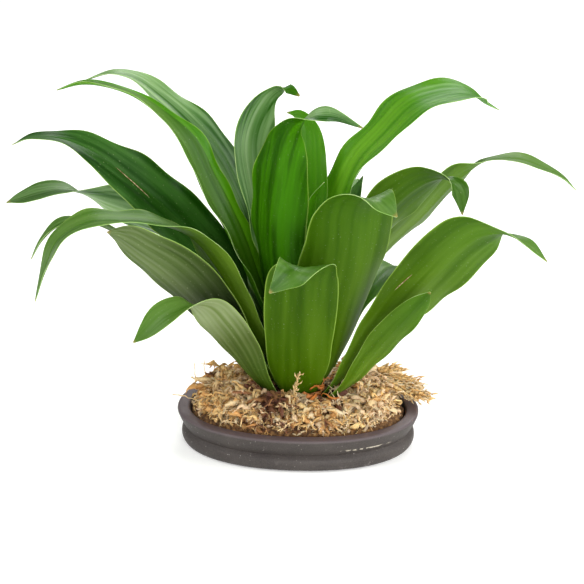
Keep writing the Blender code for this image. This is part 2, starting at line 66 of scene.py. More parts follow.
def add(tree, kind, inputs=None, stops=None, **settings):
    """One node: its settings, its ramp's stops, then each input as a plain value or a link."""
    made = tree.nodes.new("ShaderNode" + kind)
    for name, value in settings.items():
        setattr(made, name, value)
    if stops:
        ramp = made.color_ramp.elements
        while len(ramp) < len(stops):
            ramp.new(0.5)
        for element, (place, color) in zip(ramp, stops):
            element.position = place
            element.color = linear(color)
    for key, value in (inputs or {}).items():
        if isinstance(value, bpy.types.NodeSocket):
            tree.links.new(value, made.inputs[key])
        else:
            made.inputs[key].default_value = value
    return made


def new_finish(name):
    """An empty material and its node tree."""
    finish = bpy.data.materials.new(name)
    finish.use_nodes = True
    finish.node_tree.nodes.clear()
    return finish, finish.node_tree


def weighted(tree, parts):
    """The sum of some values, each times its weight."""
    total = 0.0
    for value, weight in parts:
        total = add(tree, "Math", {0: value, 1: weight, 2: total}, operation="MULTIPLY_ADD").outputs[0]
    return total


def distance(tree, value, middle):
    """How far a value is from a middle one, to either side."""
    off = add(tree, "Math", {0: value, 1: middle}, operation="SUBTRACT")
    return add(tree, "Math", {0: off.outputs[0]}, operation="ABSOLUTE").outputs[0]


def stained(tree, color, tint, value, low, high, most=1.0, within=None):
    """A colour with a tint mixed in, the more the further a value has run from low to high."""
    share = add(tree, "MapRange", {"Value": value, "From Min": low, "From Max": high, "To Max": most})
    if within is not None:
        share = add(tree, "Math", {0: share.outputs[0], 1: within}, operation="MULTIPLY")
    return add(tree, "Mix", {"Factor": share.outputs[0], "A": color, "B": linear(tint)},
               data_type="RGBA").outputs["Result"]


def mottled_finish(name, marks, detail, stops, roughness, ior=1.5, relief=None):
    """A finish drawn by one noise of so many marks to a metre; relief is its bumps' strength and depth."""
    finish, tree = new_finish(name)
    place = add(tree, "TexCoord").outputs["Object"]
    mottle = add(tree, "TexNoise", {"Vector": place, "Scale": marks, "Detail": detail}).outputs["Fac"]
    color = add(tree, "ValToRGB", {"Fac": mottle}, stops=stops).outputs["Color"]
    inputs = {"Base Color": color, "Roughness": roughness, "IOR": ior}
    if relief:
        bump = add(tree, "Bump", {"Height": mottle, "Strength": relief[0], "Distance": relief[1]})
        inputs["Normal"] = bump.outputs["Normal"]
    add(tree, "OutputMaterial", {"Surface": add(tree, "BsdfPrincipled", inputs).outputs[0]})
    return finish


print("leaf green as linear light:", [round(c, 3) for c in linear("#2f7a12")])

# %% [markdown]
# ## The leaf's form
# A dracaena leaf is a strap with parallel veins. It clasps the stem at its base, stands up, then
# arches over to a drawn-out tip. Each one could be sculpted, but a table of midrib points with a width
# and a roll at each point says the same in a few numbers, and matches the solids exactly. Each row
# holds the compass angle at the stem, the height of the join, the skin, and the midrib's points as
# x, y, z, width and roll.

# %% The leaf table
LEAVES = {
    "leaf_left_low_small": (-140, 18, "low", (
        (-25, -24, 51, 18, 10), (-36, -38, 76, 25, 30), (-47, -52, 98, 28, 35), (-57, -62, 113, 24, 30),
        (-68, -68, 117, 20, 0), (-82, -72, 112, 18, -20), (-92, -74, 103, 12, -20),
        (-101, -73, 94, 1, -20))),
    "leaf_right_low_small": (-42, 18, "mid", (
        (36, -26, 50, 14, -15), (45, -36, 68, 18, -35), (56, -48, 88, 20, -45), (67, -58, 106, 18, -50),
        (76, -66, 120, 12, -50), (81, -70, 128, 1, -50))),
    "leaf_back_right": (48, 18, "mid", (
        (34, 36, 74, 28, 0), (51, 59, 89, 26, 0), (64, 82, 92, 22, 0), (76, 102, 78, 15, 0),
        (83, 116, 60, 1, 0))),
    "leaf_back_low_left": (120, 18, "grey", (
        (-18, 48, 78, 36, 0), (-30, 76, 98, 40, 0), (-42, 102, 106, 34, 0), (-52, 120, 96, 20, 0),
        (-58, 133, 78, 1, 0))),
    "leaf_front_small": (-92, 23, "front", (
        (1, -30, 55, 38, 0), (1, -48, 83, 43, 0), (2, -66, 114, 46, 0), (3, -80, 137, 43, 0),
        (5, -94, 151, 33, 0), (-3, -107, 154, 24, -12), (-17, -113, 142, 1, -20))),
    "leaf_left_broad_grey": (-165, 23, "grey", (
        (-28, -12, 51, 28, 5), (-43, -22, 79, 34, 25), (-60, -35, 108, 39, 40), (-79, -45, 132, 42, 45),
        (-96, -50, 146, 36, 40), (-108, -50, 154, 26, 40), (-118, -50, 158, 1, 40))),
    "leaf_right_broad": (-15, 23, "mid", (
        (33, -14, 50, 24, -10), (48, -25, 76, 32, -30), (66, -38, 105, 38, -45), (83, -50, 130, 43, -50),
        (98, -59, 151, 46, -50), (112, -67, 164, 37, -45), (124, -73, 167, 14, -28),
        (138, -78, 162, 13, 0), (150, -80, 152, 1, 0))),
    "leaf_back_low_centre": (86, 23, "mid", (
        (6, 44, 86, 36, 0), (8, 74, 112, 42, 0), (9, 104, 119, 38, 0), (8, 130, 108, 22, 0),
        (6, 148, 88, 1, 0))),
    "leaf_front_broad": (-58, 28, "front", (
        (16, -18, 52, 36, 0), (23, -32, 88, 56, 0), (30, -48, 127, 64, 0), (33, -60, 157, 61, 0),
        (34, -72, 179, 52, 0), (38, -82, 190, 39, 0), (47, -90, 193, 26, 0), (58, -95, 184, 1, 0))),
    "leaf_right_long": (18, 28, "mid", (
        (36, 18, 90, 31, -20), (58, 28, 121, 36, -42), (81, 33, 143, 46, -48), (99, 36, 163, 43, -50),
        (111, 38, 173, 26, -45), (122, 39, 180, 9, -10), (142, 38, 182, 16, 15), (161, 37, 176, 14, 15),
        (173, 35, 170, 10, 10), (182, 34, 162, 1, 0))),
    "leaf_left_twisted": (145, 28, "twisted", (
        (-36, 24, 80, 34, 0), (-60, 32, 108, 40, 20), (-84, 38, 131, 45, 55), (-107, 40, 144, 40, 72),
        (-125, 40, 150, 30, 65), (-141, 38, 155, 17, 35), (-156, 36, 158.5, 18, -4),
        (-171, 32, 157, 19, -22), (-183, 30, 153.5, 12, -20), (-191, 28, 151.5, 1, -10))),
    "leaf_left_hidden_arch": (-143, 28, "mid", (
        (-43, -13, 82, 26, 10), (-70, -14, 110, 28, 10), (-96, -16, 134, 26, 15),
        (-120, -20, 150, 22, 20), (-137, -24, 157, 20, 10), (-150, -27, 155, 17, 0),
        (-161, -29, 145, 12, 0), (-168, -31, 133, 1, 0))),
    "leaf_left_long_arch": (-128, 32, "mid", (
        (-33, -21, 90, 28, 10), (-50, -28, 126, 31, 15), (-67, -31, 149, 31, 10), (-87, -39, 160, 27, 0),
        (-108, -48, 165, 24, 0), (-129, -52, 165, 27, 0), (-147, -54, 155, 23, 0),
        (-156, -54, 136, 17, 0), (-163, -56, 114, 1, 0))),
    "leaf_right_mid": (-12, 33, "mid", (
        (33, -3, 110, 34, -20), (50, -6, 147, 37, -45), (66, -8, 169, 41, -50), (82, -8, 180, 33, -45),
        (93, -9, 182, 15, -15), (101, -10, 175, 14, 45), (104, -11, 159, 1, 55))),
    "leaf_back_mid": (55, 33, "deep", (
        (17, 38, 106, 34, 0), (22, 64, 136, 38, 0), (25, 90, 147, 34, 0), (27, 112, 138, 20, 0),
        (28, 128, 118, 1, 0))),
    "leaf_back_mid_left": (120, 33, "mid", (
        (-20, 40, 101, 28, 0), (-30, 65, 129, 34, 0), (-38, 90, 141, 32, 0), (-43, 110, 133, 20, 0),
        (-47, 124, 113, 1, 0))),
    "leaf_left_long_dark": (176, 35, "dark", (
        (-37, 9, 93, 32, 0), (-52, 11, 118, 38, -18), (-67, 10, 136, 38, -36), (-89, 7, 160, 38, -45),
        (-111, 6, 179, 33, -45), (-130, 5, 193, 24, -35), (-151, 4, 202, 17, -10), (-170, 3, 203, 11, 0),
        (-182, 3, 198, 1, 0))),
    "leaf_inner_right": (28, 38, "deep", (
        (21, 14, 112, 19, 0), (30, 23, 141, 19, 0), (37, 30, 158, 12, 0), (42, 32, 171, 1, 0))),
    "leaf_upper_left_back": (118, 39.5, "deep", (
        (-24, 31, 107, 23, 10), (-39, 46, 149, 28, 20), (-54, 53, 177, 33, 10), (-72, 58, 198, 33, 0),
        (-91, 62, 214.5, 26, 0), (-110, 64, 227.5, 16, 0), (-124, 64, 230, 11, 0),
        (-147, 64, 223, 1, 0))),
    "leaf_upper_left_folded": (172, 43, "bright", (
        (-28, 0, 102, 30, -5), (-46, 1, 144, 32, -18), (-61, 5, 172, 31, -22), (-74, 10, 198, 27, -15),
        (-88, 14, 214, 16, -5), (-105, 18, 226, 11, 0), (-123, 20, 232, 9, 0), (-139, 22, 233, 9, 0),
        (-155, 22, 229, 1, 0))),
    "leaf_upper_right_bright": (20, 43, "bright", (
        (17, 6, 120, 32, 0), (27, 10, 159, 38, 0), (39, 14, 187, 41, 0), (54, 18, 203, 43, 5),
        (72, 22, 221, 41, 8), (91, 26, 227.5, 36, 8), (105, 29, 228, 33, 4), (114, 31, 225, 27, 0),
        (119, 32, 221, 13, 0), (129, 33, 216, 1, 0))),
    "leaf_back_inner": (98, 44, "deep", (
        (-5, 30, 118, 29, 0), (-3, 52, 152, 34, 0), (-5, 76, 170, 30, 0), (-7, 98, 170, 18, 0),
        (-9, 114, 154, 1, 0))),
    "leaf_centre_tall": (-105, 49, "deep", (
        (-13, -18, 108, 38, 0), (-17, -24, 152, 46, 0), (-13, -29, 189, 38, 0), (-9, -33, 211, 25, 0),
        (-4, -38, 223, 13, 12), (6, -42, 230, 10, 60), (20, -46, 233, 9, 85), (38, -50, 226, 1, 80))),
    "leaf_back_centre_left": (135, 49, "deep", (
        (-17, 17, 118, 26, 0), (-29, 23, 164, 37, 0), (-33, 29, 194, 39, 0), (-27, 33, 213, 29, 0),
        (-18, 35, 225, 14, 0), (-9, 35, 229, 10, 0), (0, 33, 224, 1, 0))),
    "leaf_back_centre": (60, 49, "bright", (
        (4, 10, 119, 24, 0), (5, 18, 158, 29, 0), (5, 25, 188, 26, 0), (4, 31, 203, 17, 0),
        (0, 33, 211, 8, 0), (-8, 33, 213, 1, 0))),
    "leaf_inner_spear": (-60, 58, "bright", (
        (6, -3, 124, 13, 0), (8, -4, 152, 11, 0), (10, -5, 168, 8, 0), (16, -6, 178, 1, 0))),
    "leaf_inner_spear_back": (160, 58, "bright", (
        (-2, 1, 122, 12, 0), (-4, 2, 150, 10, 0), (-5, 4, 170, 1, 0))),
}
print("leaves:", len(LEAVES))

# %% [markdown]
# ## Stations along a leaf
# A curve through the points could come from a Bezier object. Here a short function does it, because
# the width and the roll have to be read from the same smooth curve as the place. A second function
# spaces the stations evenly, so that no stretch of the blade has coarse faces.

# %% Smooth curves
STEM_LOW = 8.0
STEM_TOP = 72.0
STEM_RADIUS_LOW = 9.5
STEM_RADIUS_TOP = 3.0
CROWN_X = 2.0
CROWN_Y = 0.0
PLANT_TURN = 3.0
PLANT_SIDEWAYS = -1.2
PLANT_LIFT = 1.5


def stem_radius(height):
    part = min(max((height - STEM_LOW) / (STEM_TOP - STEM_LOW), 0.0), 1.0)
    return STEM_RADIUS_LOW + (STEM_RADIUS_TOP - STEM_RADIUS_LOW) * part


def curve_at(rows, part):
    """A smooth curve through the rows, read at a share of its length: a list of the same columns."""
    lengths = [0.0]
    for a, b in zip(rows, rows[1:]):
        lengths.append(lengths[-1] + math.dist(a[:3], b[:3]) ** 0.5)
    where = part * lengths[-1]
    k = 0
    while k < len(rows) - 2 and lengths[k + 1] < where:
        k += 1
    t = (where - lengths[k]) / (lengths[k + 1] - lengths[k])
    before = rows[k - 1] if k else [2 * a - b for a, b in zip(rows[0], rows[1])]
    after = rows[k + 2] if k + 2 < len(rows) else [2 * b - a for a, b in zip(rows[k], rows[k + 1])]
    step = lengths[k + 1] - lengths[k]
    back = lengths[k] - lengths[k - 1] if k else step
    ahead = lengths[k + 2] - lengths[k + 1] if k + 2 < len(rows) else step
    value = []
    for p0, p1, p2, p3 in zip(before, rows[k], rows[k + 1], after):
        m1 = step * ((p1 - p0) / back - (p2 - p0) / (back + step) + (p2 - p1) / step)
        m2 = step * ((p2 - p1) / step - (p3 - p1) / (step + ahead) + (p3 - p2) / ahead)
        value.append((2 * t ** 3 - 3 * t ** 2 + 1) * p1 + (t ** 3 - 2 * t ** 2 + t) * m1
                     + (3 * t ** 2 - 2 * t ** 3) * p2 + (t ** 3 - t ** 2) * m2)
    return value


def even_parts(rows, count, fine=200):
    """Shares of the curve that put stations at even distances along it."""
    track = [curve_at(rows, i / fine)[:3] for i in range(fine + 1)]
    run = [0.0]
    for a, b in zip(track, track[1:]):
        run.append(run[-1] + math.dist(a, b))
    return list(np.interp(np.linspace(0, run[-1], count), run, np.linspace(0, 1, fine + 1)))


print("stem radius at the soil:", round(stem_radius(STEM_LOW), 1), "mm")

# %% [markdown]
# ## One blade
# The section across a blade is an arc round the crown's axis, so the bases nest in each other like
# cups and the blades flatten as they leave the stem. A real blade is also grooved along its midrib,
# lightly pleated between the veins, and rippled along its edges, because the edge grows faster than
# the middle. Those three are real relief here, since they catch the light and break the outline.

# %% The middle surface of a blade
STATIONS = 96
COLUMNS = 31
LEAF_SEAT = 0.45
BASE_THICKNESS = 1.0
BASE_CLASP = 1.0
MOST_CUP = 1.7
LEAST_CUP = 0.35
KEEL = 0.05
FOLDS = {"leaf_upper_left_folded": 0.20}
EDGE_WAVE = 1.1
TIP_WIDTH = 0.9
GROOVE_HALF_WIDTH = 0.055
PLEATS = 3.5
RIPPLE_LENGTH = 34.0
# Waves and grooves grow from nothing at the base to full at this share of the length, and they are
# lower where a blade is narrower than this width.
FREE_SHARE = 0.4
FULL_WAVE_WIDTH = 30.0
# For each skin: the groove's depth, the pleats' depth as a share of the width, and the edge's ripple
# and sideways drift.
RELIEF = {
    "mid": (0.55, 0.0022, 0.9, 0.5), "front": (0.12, 0.0010, 0.3, 0.0), "deep": (0.50, 0.0050, 0.8, 0.7),
    "dark": (0.50, 0.0020, 1.0, 1.0), "bright": (0.50, 0.0040, 0.9, 0.4), "grey": (0.25, 0.0050, 0.4, 0.1),
    "low": (0.25, 0.0050, 0.4, 0.1), "twisted": (0.40, 0.0060, 0.8, 0.6),
}
ACROSS = np.linspace(-1, 1, COLUMNS)


def blade_surface(facing, join_height, skin, midrib, keel, draw, fine_draw):
    """Points of the middle surface, the distance along it and the width, station by station."""
    groove_depth, pleat_depth, ripple_depth, edge_drift = RELIEF[skin]
    angle = math.radians(facing)
    reach = stem_radius(join_height) + LEAF_SEAT + BASE_THICKNESS / 2
    base_x, base_y = CROWN_X + reach * math.cos(angle), CROWN_Y + reach * math.sin(angle)
    rows = [(base_x, base_y, join_height, BASE_CLASP * reach, 0.0)] + [tuple(row) for row in midrib]
    phase = draw.uniform(0, 2 * math.pi)
    waves = draw.uniform(1.6, 2.6)
    ripple_phase = fine_draw.uniform(0, 2 * math.pi)
    points = np.zeros((STATIONS, COLUMNS, 3))
    widths, run = np.zeros(STATIONS), np.zeros(STATIONS)
    for i, part in enumerate(even_parts(rows, STATIONS)):
        x, y, z, width, roll = curve_at(rows, part)
        share = i / (STATIONS - 1)
        ahead = Vector(curve_at(rows, min(part + 0.01, 1.0))[:3])
        behind = Vector(curve_at(rows, max(part - 0.01, 0.0))[:3])
        along = (ahead - behind).normalized()
        radial = Vector((x - CROWN_X, y - CROWN_Y, 0.0))
        level_side = Vector((-radial.y, radial.x, 0.0)).normalized()
        side = (level_side - along * level_side.dot(along)).normalized()
        side = Matrix.Rotation(math.radians(roll), 3, along) @ side
        upper = along.cross(side)
        width = max(width, TIP_WIDTH)
        cone = max(radial.length, reach) / max(along.z, 0.4)
        wrap = min(max(width / (cone * (1 + share)), LEAST_CUP), MOST_CUP)
        bend = width / wrap
        free = min(share / FREE_SHARE, 1.0)
        slim = min(width / FULL_WAVE_WIDTH, 1.0)
        turn = ACROSS * wrap / 2
        lift = bend * (1 - np.cos(turn)) + keel * width * np.abs(ACROSS) * free
        wave = EDGE_WAVE * free * ACROSS ** 2 * np.sin(phase + ACROSS + 2 * math.pi * waves * share)
        ripple_turn = 2 * math.pi * run[i - 1] / RIPPLE_LENGTH + ripple_phase + 2.1 * ACROSS
        wave += ripple_depth * free * ACROSS ** 4 * np.sin(ripple_turn)
        groove = -groove_depth * free * np.exp(-(ACROSS / GROOVE_HALF_WIDTH) ** 2)
        pleat = pleat_depth * width * free * np.cos(2 * math.pi * PLEATS * ACROSS) * (1 - ACROSS ** 6)
        wave = (wave + groove) * slim + pleat
        drift = edge_drift * free * slim * ACROSS ** 3 * np.sin(0.8 * ripple_turn + 1.3)
        place = np.array((x, y, z))
        points[i] = place + np.outer(bend * np.sin(turn) + drift, side) + np.outer(lift + wave, upper)
        widths[i] = width
        if i:
            run[i] = run[i - 1] + np.linalg.norm(points[i, COLUMNS // 2] - points[i - 1, COLUMNS // 2])
    return points, run, widths


print("faces on one side of a blade:", (STATIONS - 1) * (COLUMNS - 1))

# %% [markdown]
# ## From points to a piece
# Every fine piece below is a mesh that rides on the part's one body, so that it goes where the solids
# go. The bmesh module could build each face in turn, but whole lists of points and faces are faster.
# One helper makes the object, one lays a UV map on it from a pair of numbers for each point, and one
# turns and sets the plant's points as the whole plant stands in its tray.

# %% Helpers for every piece
def mesh_piece(name, points, faces, finishes, face_slots=None, smooth=True):
    """A mesh object from points in millimetres, riding on the part's one body."""
    mesh = bpy.data.meshes.new(name)
    mesh.from_pydata((np.asarray(points) * MM).tolist(), [], faces)
    for finish in finishes:
        mesh.materials.append(finish)
    if face_slots is not None:
        mesh.polygons.foreach_set("material_index", face_slots)
    mesh.polygons.foreach_set("use_smooth", [smooth] * len(mesh.polygons))
    mesh.update()
    piece = bpy.data.objects.new(name, mesh)
    bpy.context.scene.collection.objects.link(piece)
    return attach(piece, "root")


def lay_uv(piece, name, values):
    """A UV map from one pair of numbers for each vertex."""
    layer = piece.data.uv_layers.new(name=name)
    corners = np.zeros(len(piece.data.loops), np.int32)
    piece.data.loops.foreach_get("vertex_index", corners)
    layer.data.foreach_set("uv", np.asarray(values, float)[corners].ravel())


def placed(points):
    """Points of the plant after the whole plant is turned and set in its tray."""
    c, s = math.cos(math.radians(PLANT_TURN)), math.sin(math.radians(PLANT_TURN))
    x, y, z = np.moveaxis(points, -1, 0)
    return np.stack([x * c - y * s + PLANT_SIDEWAYS, x * s + y * c, z + PLANT_LIFT], -1)


print("the crown stands at", placed(np.array([CROWN_X, CROWN_Y, 0.0])).round(2), "mm")

# %% [markdown]
# ## From surface to solid blade
# A Solidify modifier would give the blade an even thickness. A real blade thins out to its margin,
# so the two skins are offset by hand along the surface's normals, by less near the edges. The upper
# skin, the underside and the cut edge get a material slot each, because they look different.

# %% Close the blade
BLADE_THICKNESS = 0.56
MARGIN_THICKNESS = 0.26
BASE_STRETCH = 0.2


def close_blade(points, run):
    """Both skins of a blade: vertices, faces and the slot of each face."""
    along = np.gradient(points, axis=0)
    side = np.gradient(points, axis=1)
    normal = np.cross(along, side)
    normal /= np.maximum(np.linalg.norm(normal, axis=2, keepdims=True), 1e-9)
    base_share = np.clip(1 - run / (BASE_STRETCH * run[-1]), 0, 1)[:, None]
    middle = BLADE_THICKNESS + (BASE_THICKNESS - BLADE_THICKNESS) * base_share
    thickness = MARGIN_THICKNESS + (middle - MARGIN_THICKNESS) * (1 - ACROSS[None, :] ** 6)
    offset = normal * thickness[..., None] / 2
    vertices = np.concatenate([(points + offset).reshape(-1, 3), (points - offset).reshape(-1, 3)])
    count = STATIONS * COLUMNS
    faces, slots = [], []
    for i in range(STATIONS - 1):
        for j in range(COLUMNS - 1):
            a = i * COLUMNS + j
            quad = (a, a + 1, a + 1 + COLUMNS, a + COLUMNS)
            faces += [quad, tuple(count + v for v in reversed(quad))]
            slots += [0, 1]
    rim = list(range(COLUMNS)) + [i * COLUMNS + COLUMNS - 1 for i in range(1, STATIONS)]
    rim += [count - 1 - j for j in range(1, COLUMNS)] + [i * COLUMNS for i in range(STATIONS - 2, 0, -1)]
    for a, b in zip(rim, rim[1:] + rim[:1]):
        faces.append((b, a, count + a, count + b))
        slots.append(2)
    return vertices, faces, slots


print("blade thickness:", BLADE_THICKNESS, "mm in the middle,", MARGIN_THICKNESS, "mm at the margin")

# %% [markdown]
# ## Leaf skin
# The real surface is a living leaf under a thin wax layer, the cuticle. It reads as a saturated
# yellow-green with soft long bands along its pleats. The upper side carries pale patches that grow
# toward the tip, partly waxy bloom and partly painted sheen, and a broad satin sheen from its gloss;
# the underside is duller, and on the old outer leaves its ribs stand out grey. Light also comes
# through the blade, so some translucence is mixed in. The veins are 0.6 mm apart on the real leaf,
# too fine for this view, so they are drawn about three times as coarse. A wave texture would look
# ruled, so stretched noise does it instead.

# %% Leaf skin materials
# One millimetre of leaf is this much of its UV map. Each noise is then stretched by so much across
# the leaf and along it.
UV_MM = 0.01
STREAK_STRETCH = (26.0, 0.7, 1.0)
BAND_STRETCH = (7.0, 0.45, 1.0)
PATCH_STRETCH = (2.6, 1.1, 1.0)
DUST_STRETCH = (90.0, 70.0, 1.0)


def leaf_noise(tree, blade, stretch, detail):
    """Noise stretched along the blade, read from the millimetre map."""
    place = add(tree, "VectorMath", {0: blade, 1: stretch}, operation="MULTIPLY")
    return add(tree, "TexNoise", {"Vector": place.outputs[0], "Scale": 1.0, "Detail": detail}).outputs["Fac"]


def leaf_skin(name, tones, rib, bloom_and_sheen, through, shade_ramp, roughness, specular, bump):
    """One side of a living leaf; rib, bloom with painted sheen, and through each give a colour and its share.

    The three tones run along the streaks. Over them come the ribs, the waxy bloom with its painted
    sheen, a ramp of painted shade from the base to the tip, specks of dust, the clear margin and the dry
    tip, in that order.
    """
    finish, tree = new_finish(name)
    split = add(tree, "SeparateXYZ", {0: add(tree, "UVMap", uv_map="blade_share").outputs["UV"]})
    across, along = split.outputs["X"], split.outputs["Y"]
    blade = add(tree, "UVMap", uv_map="blade_mm").outputs["UV"]
    streak = leaf_noise(tree, blade, STREAK_STRETCH, 2.0)
    band = leaf_noise(tree, blade, BAND_STRETCH, 2.0)
    patch = leaf_noise(tree, blade, PATCH_STRETCH, 3.0)

    tone = weighted(tree, ((streak, 0.25), (band, 0.42), (patch, 0.33)))
    color = add(tree, "ValToRGB", {"Fac": tone}, stops=tuple(zip((0.40, 0.50, 0.60), tones))).outputs[0]
    # One rib for each pleat of the blade's relief.
    turn = add(tree, "Math", {0: across, 1: 4 * math.pi * PLEATS, 2: 4.7 * math.pi}, operation="MULTIPLY_ADD")
    ridge = add(tree, "Math", {0: turn.outputs[0]}, operation="SINE").outputs[0]
    ridge = weighted(tree, ((ridge, 1.0), (streak, 3.2)))
    color = stained(tree, color, rib[0], ridge, 1.2, 2.6, rib[1])
    # Pale patches that grow toward the tip: partly waxy bloom, partly painted sheen.
    bloom_sheen_mask = weighted(tree, ((patch, 1.0), (along, 0.20), (band, 1.1), (streak, 0.9)))
    color = stained(tree, color, bloom_and_sheen[0], bloom_sheen_mask, 1.44, 1.84, bloom_and_sheen[1])
    # Painted shade: a ramp along the blade multiplies the colour, darker where less light reaches.
    depth = add(tree, "ValToRGB", {"Fac": along}, stops=shade_ramp)
    color = add(tree, "Mix", {"Factor": 1.0, "A": color, "B": depth.outputs[0]}, data_type="RGBA",
                blend_type="MULTIPLY").outputs["Result"]

    color = stained(tree, color, "#aebd84", leaf_noise(tree, blade, DUST_STRETCH, 0.0), 0.74, 0.84, 0.30)
    color = stained(tree, color, "#a3c552", distance(tree, across, 0.5), 0.482, 0.498, 0.7)
    color = stained(tree, color, "#a58a4c", along, 0.986, 0.998, 0.7)

    gloss = add(tree, "MapRange", {"Value": band, "To Min": roughness - 0.08, "To Max": roughness + 0.08})
    relief = add(tree, "Bump", {"Height": streak, "Strength": bump, "Distance": 0.0005})
    skin = add(tree, "BsdfPrincipled", {"Base Color": color, "Roughness": gloss.outputs[0], "IOR": 1.45,
                                        "Specular IOR Level": specular, "Normal": relief.outputs["Normal"]})
    glow = add(tree, "BsdfTranslucent", {"Color": linear(through[0])})
    both = add(tree, "MixShader", {0: through[1], 1: skin.outputs[0], 2: glow.outputs[0]})
    add(tree, "OutputMaterial", {"Surface": both.outputs[0]})
    return finish


print("one streak is about", round(1 / (2 * STREAK_STRETCH[0] * UV_MM), 1), "mm wide")

# %% [markdown]
# ## Young, mature and old leaves
# One plant shows several greens. The young inner leaves are bright and let more light through, the
# mature ones are deeper in colour and some are waxy, and the oldest, lowest ones are dull with grey
# ribs. A node tree made by hand for each would repeat the same steps, so each skin is one call of the
# function above with its own values. Its shade ramp runs from base to tip and multiplies its colour:
# it is painted shade, mostly darker low down, where the neighbours and the heap keep light away, and
# on some skins darker or lighter toward the tip as well, where the blade bends away from the light or
# the light comes through.

# %% The skin of each kind of leaf
# Ramps of painted shade along the blade, from base (0) to tip (1), in this order: darker at the base; deeply
# darker on the lower half; greener and darker at the base; darker toward the tip, which bends over and faces
# down; darker at both ends; and darker low down but painted lighter near the tip, as painted light where
# light comes through.
SHADE_AT_BASE = ((0.0, "#b4bca4"), (0.5, "#f2f2f2"), (1.0, "#f2f2f2"))
DARK_SHADE_LOW_HALF = ((0.50, "#223010"), (0.76, "#d0d4c4"), (1.0, "#ececec"))
GREENER_SHADED_FOOT = ((0.20, "#86a838"), (0.46, "#b4bc94"), (0.62, "#f6f6f0"))
SHADE_TOWARD_TIP = ((0.0, "#ffffff"), (0.5, "#e0e6cc"), (0.92, "#a4c468"))
SHADE_AT_BOTH_ENDS = ((0.0, "#d4d8b8"), (0.3, "#ffffff"), (0.85, "#bccc9c"))
LIGHT_AT_TOP_SHADE_LOW = ((0.2, "#b4b8a8"), (0.6, "#bcc4a4"), (0.88, "#fcffec"))
UPPER = {
    "mid": leaf_skin("mature_leaf_upper_side", ("#2e5800", "#406c00", "#58800a"), ("#729640", 0.10),
                     ("#7c9c64", 0.25), ("#8fc800", 0.22), SHADE_AT_BASE, 0.36, 0.24, 0.30),
    "deep": leaf_skin("waxy_leaf_upper_side", ("#144800", "#2f6e00", "#609c14"), ("#8cb474", 0.30),
                      ("#a6c48c", 0.62), ("#7dba00", 0.20), SHADE_AT_BASE, 0.34, 0.36, 0.40),
    "dark": leaf_skin("dark_leaf_upper_side", ("#0c3200", "#174800", "#2c640a"), ("#4f7a30", 0.10),
                      ("#6d9456", 0.22), ("#7dba00", 0.14), SHADE_AT_BASE, 0.34, 0.15, 0.30),
    "bright": leaf_skin("young_leaf_upper_side", ("#3a7c00", "#5a9a00", "#88c414"), ("#9ccf48", 0.12),
                        ("#8fb56a", 0.10), ("#a8e000", 0.36), SHADE_AT_BOTH_ENDS, 0.36, 0.30, 0.30),
    "grey": leaf_skin("old_leaf_upper_side", ("#244c02", "#386408", "#5a8222"), ("#80a060", 0.30),
                      ("#84a072", 0.38), ("#88bc10", 0.20), SHADE_AT_BASE, 0.40, 0.30, 0.30),
}
UPPER["front"] = UPPER["mid"]
UPPER["twisted"] = UPPER["grey"]
UPPER["low"] = UPPER["mid"]
UNDER = {
    "mid": leaf_skin("mature_leaf_underside", ("#4a6a04", "#587a0c", "#688a1c"), ("#86a648", 0.06),
                     ("#86a050", 0.25), ("#8fc800", 0.22), SHADE_TOWARD_TIP, 0.48, 0.15, 0.25),
    # A darker copy of the mature underside, as painted shade, for the two front leaves.
    "front": leaf_skin("painted_shade_leaf_underside", ("#3c5c00", "#496a00", "#587a06"), ("#6a8a30", 0.05),
                       ("#748e44", 0.14), ("#8fc800", 0.24), SHADE_TOWARD_TIP, 0.50, 0.08, 0.25),
    "deep": leaf_skin("streaked_leaf_underside", ("#164600", "#2c5e02", "#58a604"), ("#5f9a10", 0.08),
                      ("#6f9c3c", 0.06), ("#a0dc00", 0.26), LIGHT_AT_TOP_SHADE_LOW, 0.42, 0.09, 0.30),
    "dark": leaf_skin("dark_leaf_underside", ("#34600c", "#4c7a18", "#6a9434"), ("#7f9c58", 0.20),
                      ("#88a268", 0.25), ("#7dba00", 0.20), SHADE_AT_BASE, 0.50, 0.18, 0.25),
    "bright": leaf_skin("young_leaf_underside", ("#2c7400", "#468e00", "#6aac10"), ("#84b430", 0.15),
                        ("#82b040", 0.12), ("#a0dc00", 0.30), SHADE_AT_BASE, 0.46, 0.15, 0.25),
    "grey": leaf_skin("old_leaf_underside", ("#465c24", "#62793e", "#80935e"), ("#92a276", 0.30),
                      ("#869668", 0.30), ("#8cae30", 0.16), DARK_SHADE_LOW_HALF, 0.55, 0.15, 0.45),
    "low": leaf_skin("lowest_leaf_underside", ("#5c7034", "#748652", "#8a9a6e"), ("#a4ae8a", 0.30),
                     ("#98a47c", 0.35), ("#8cae30", 0.16), GREENER_SHADED_FOOT, 0.55, 0.15, 0.45),
}
UNDER["twisted"] = UPPER["deep"]
print("leaf skins:", len(set(UPPER.values()) | set(UNDER.values())))

# %% [markdown]
# ## The cut edge of a blade
# Along its margin a blade has a thin clear strip without green cells. In a photograph it shows as a
# pale hairline all round the leaf, and it is what separates one green blade from the next.

# %% Margin material
def clear_margin():
    """Clear cells: pale, smooth and a little glossy, in patches 11 mm long."""
    return mottled_finish("clear_leaf_margin", 90.0, 2.0, ((0.35, "#7fae48"), (0.65, "#b4cf86")), 0.45, 1.45)


MARGIN = clear_margin()
print("margin finish:", MARGIN.name)

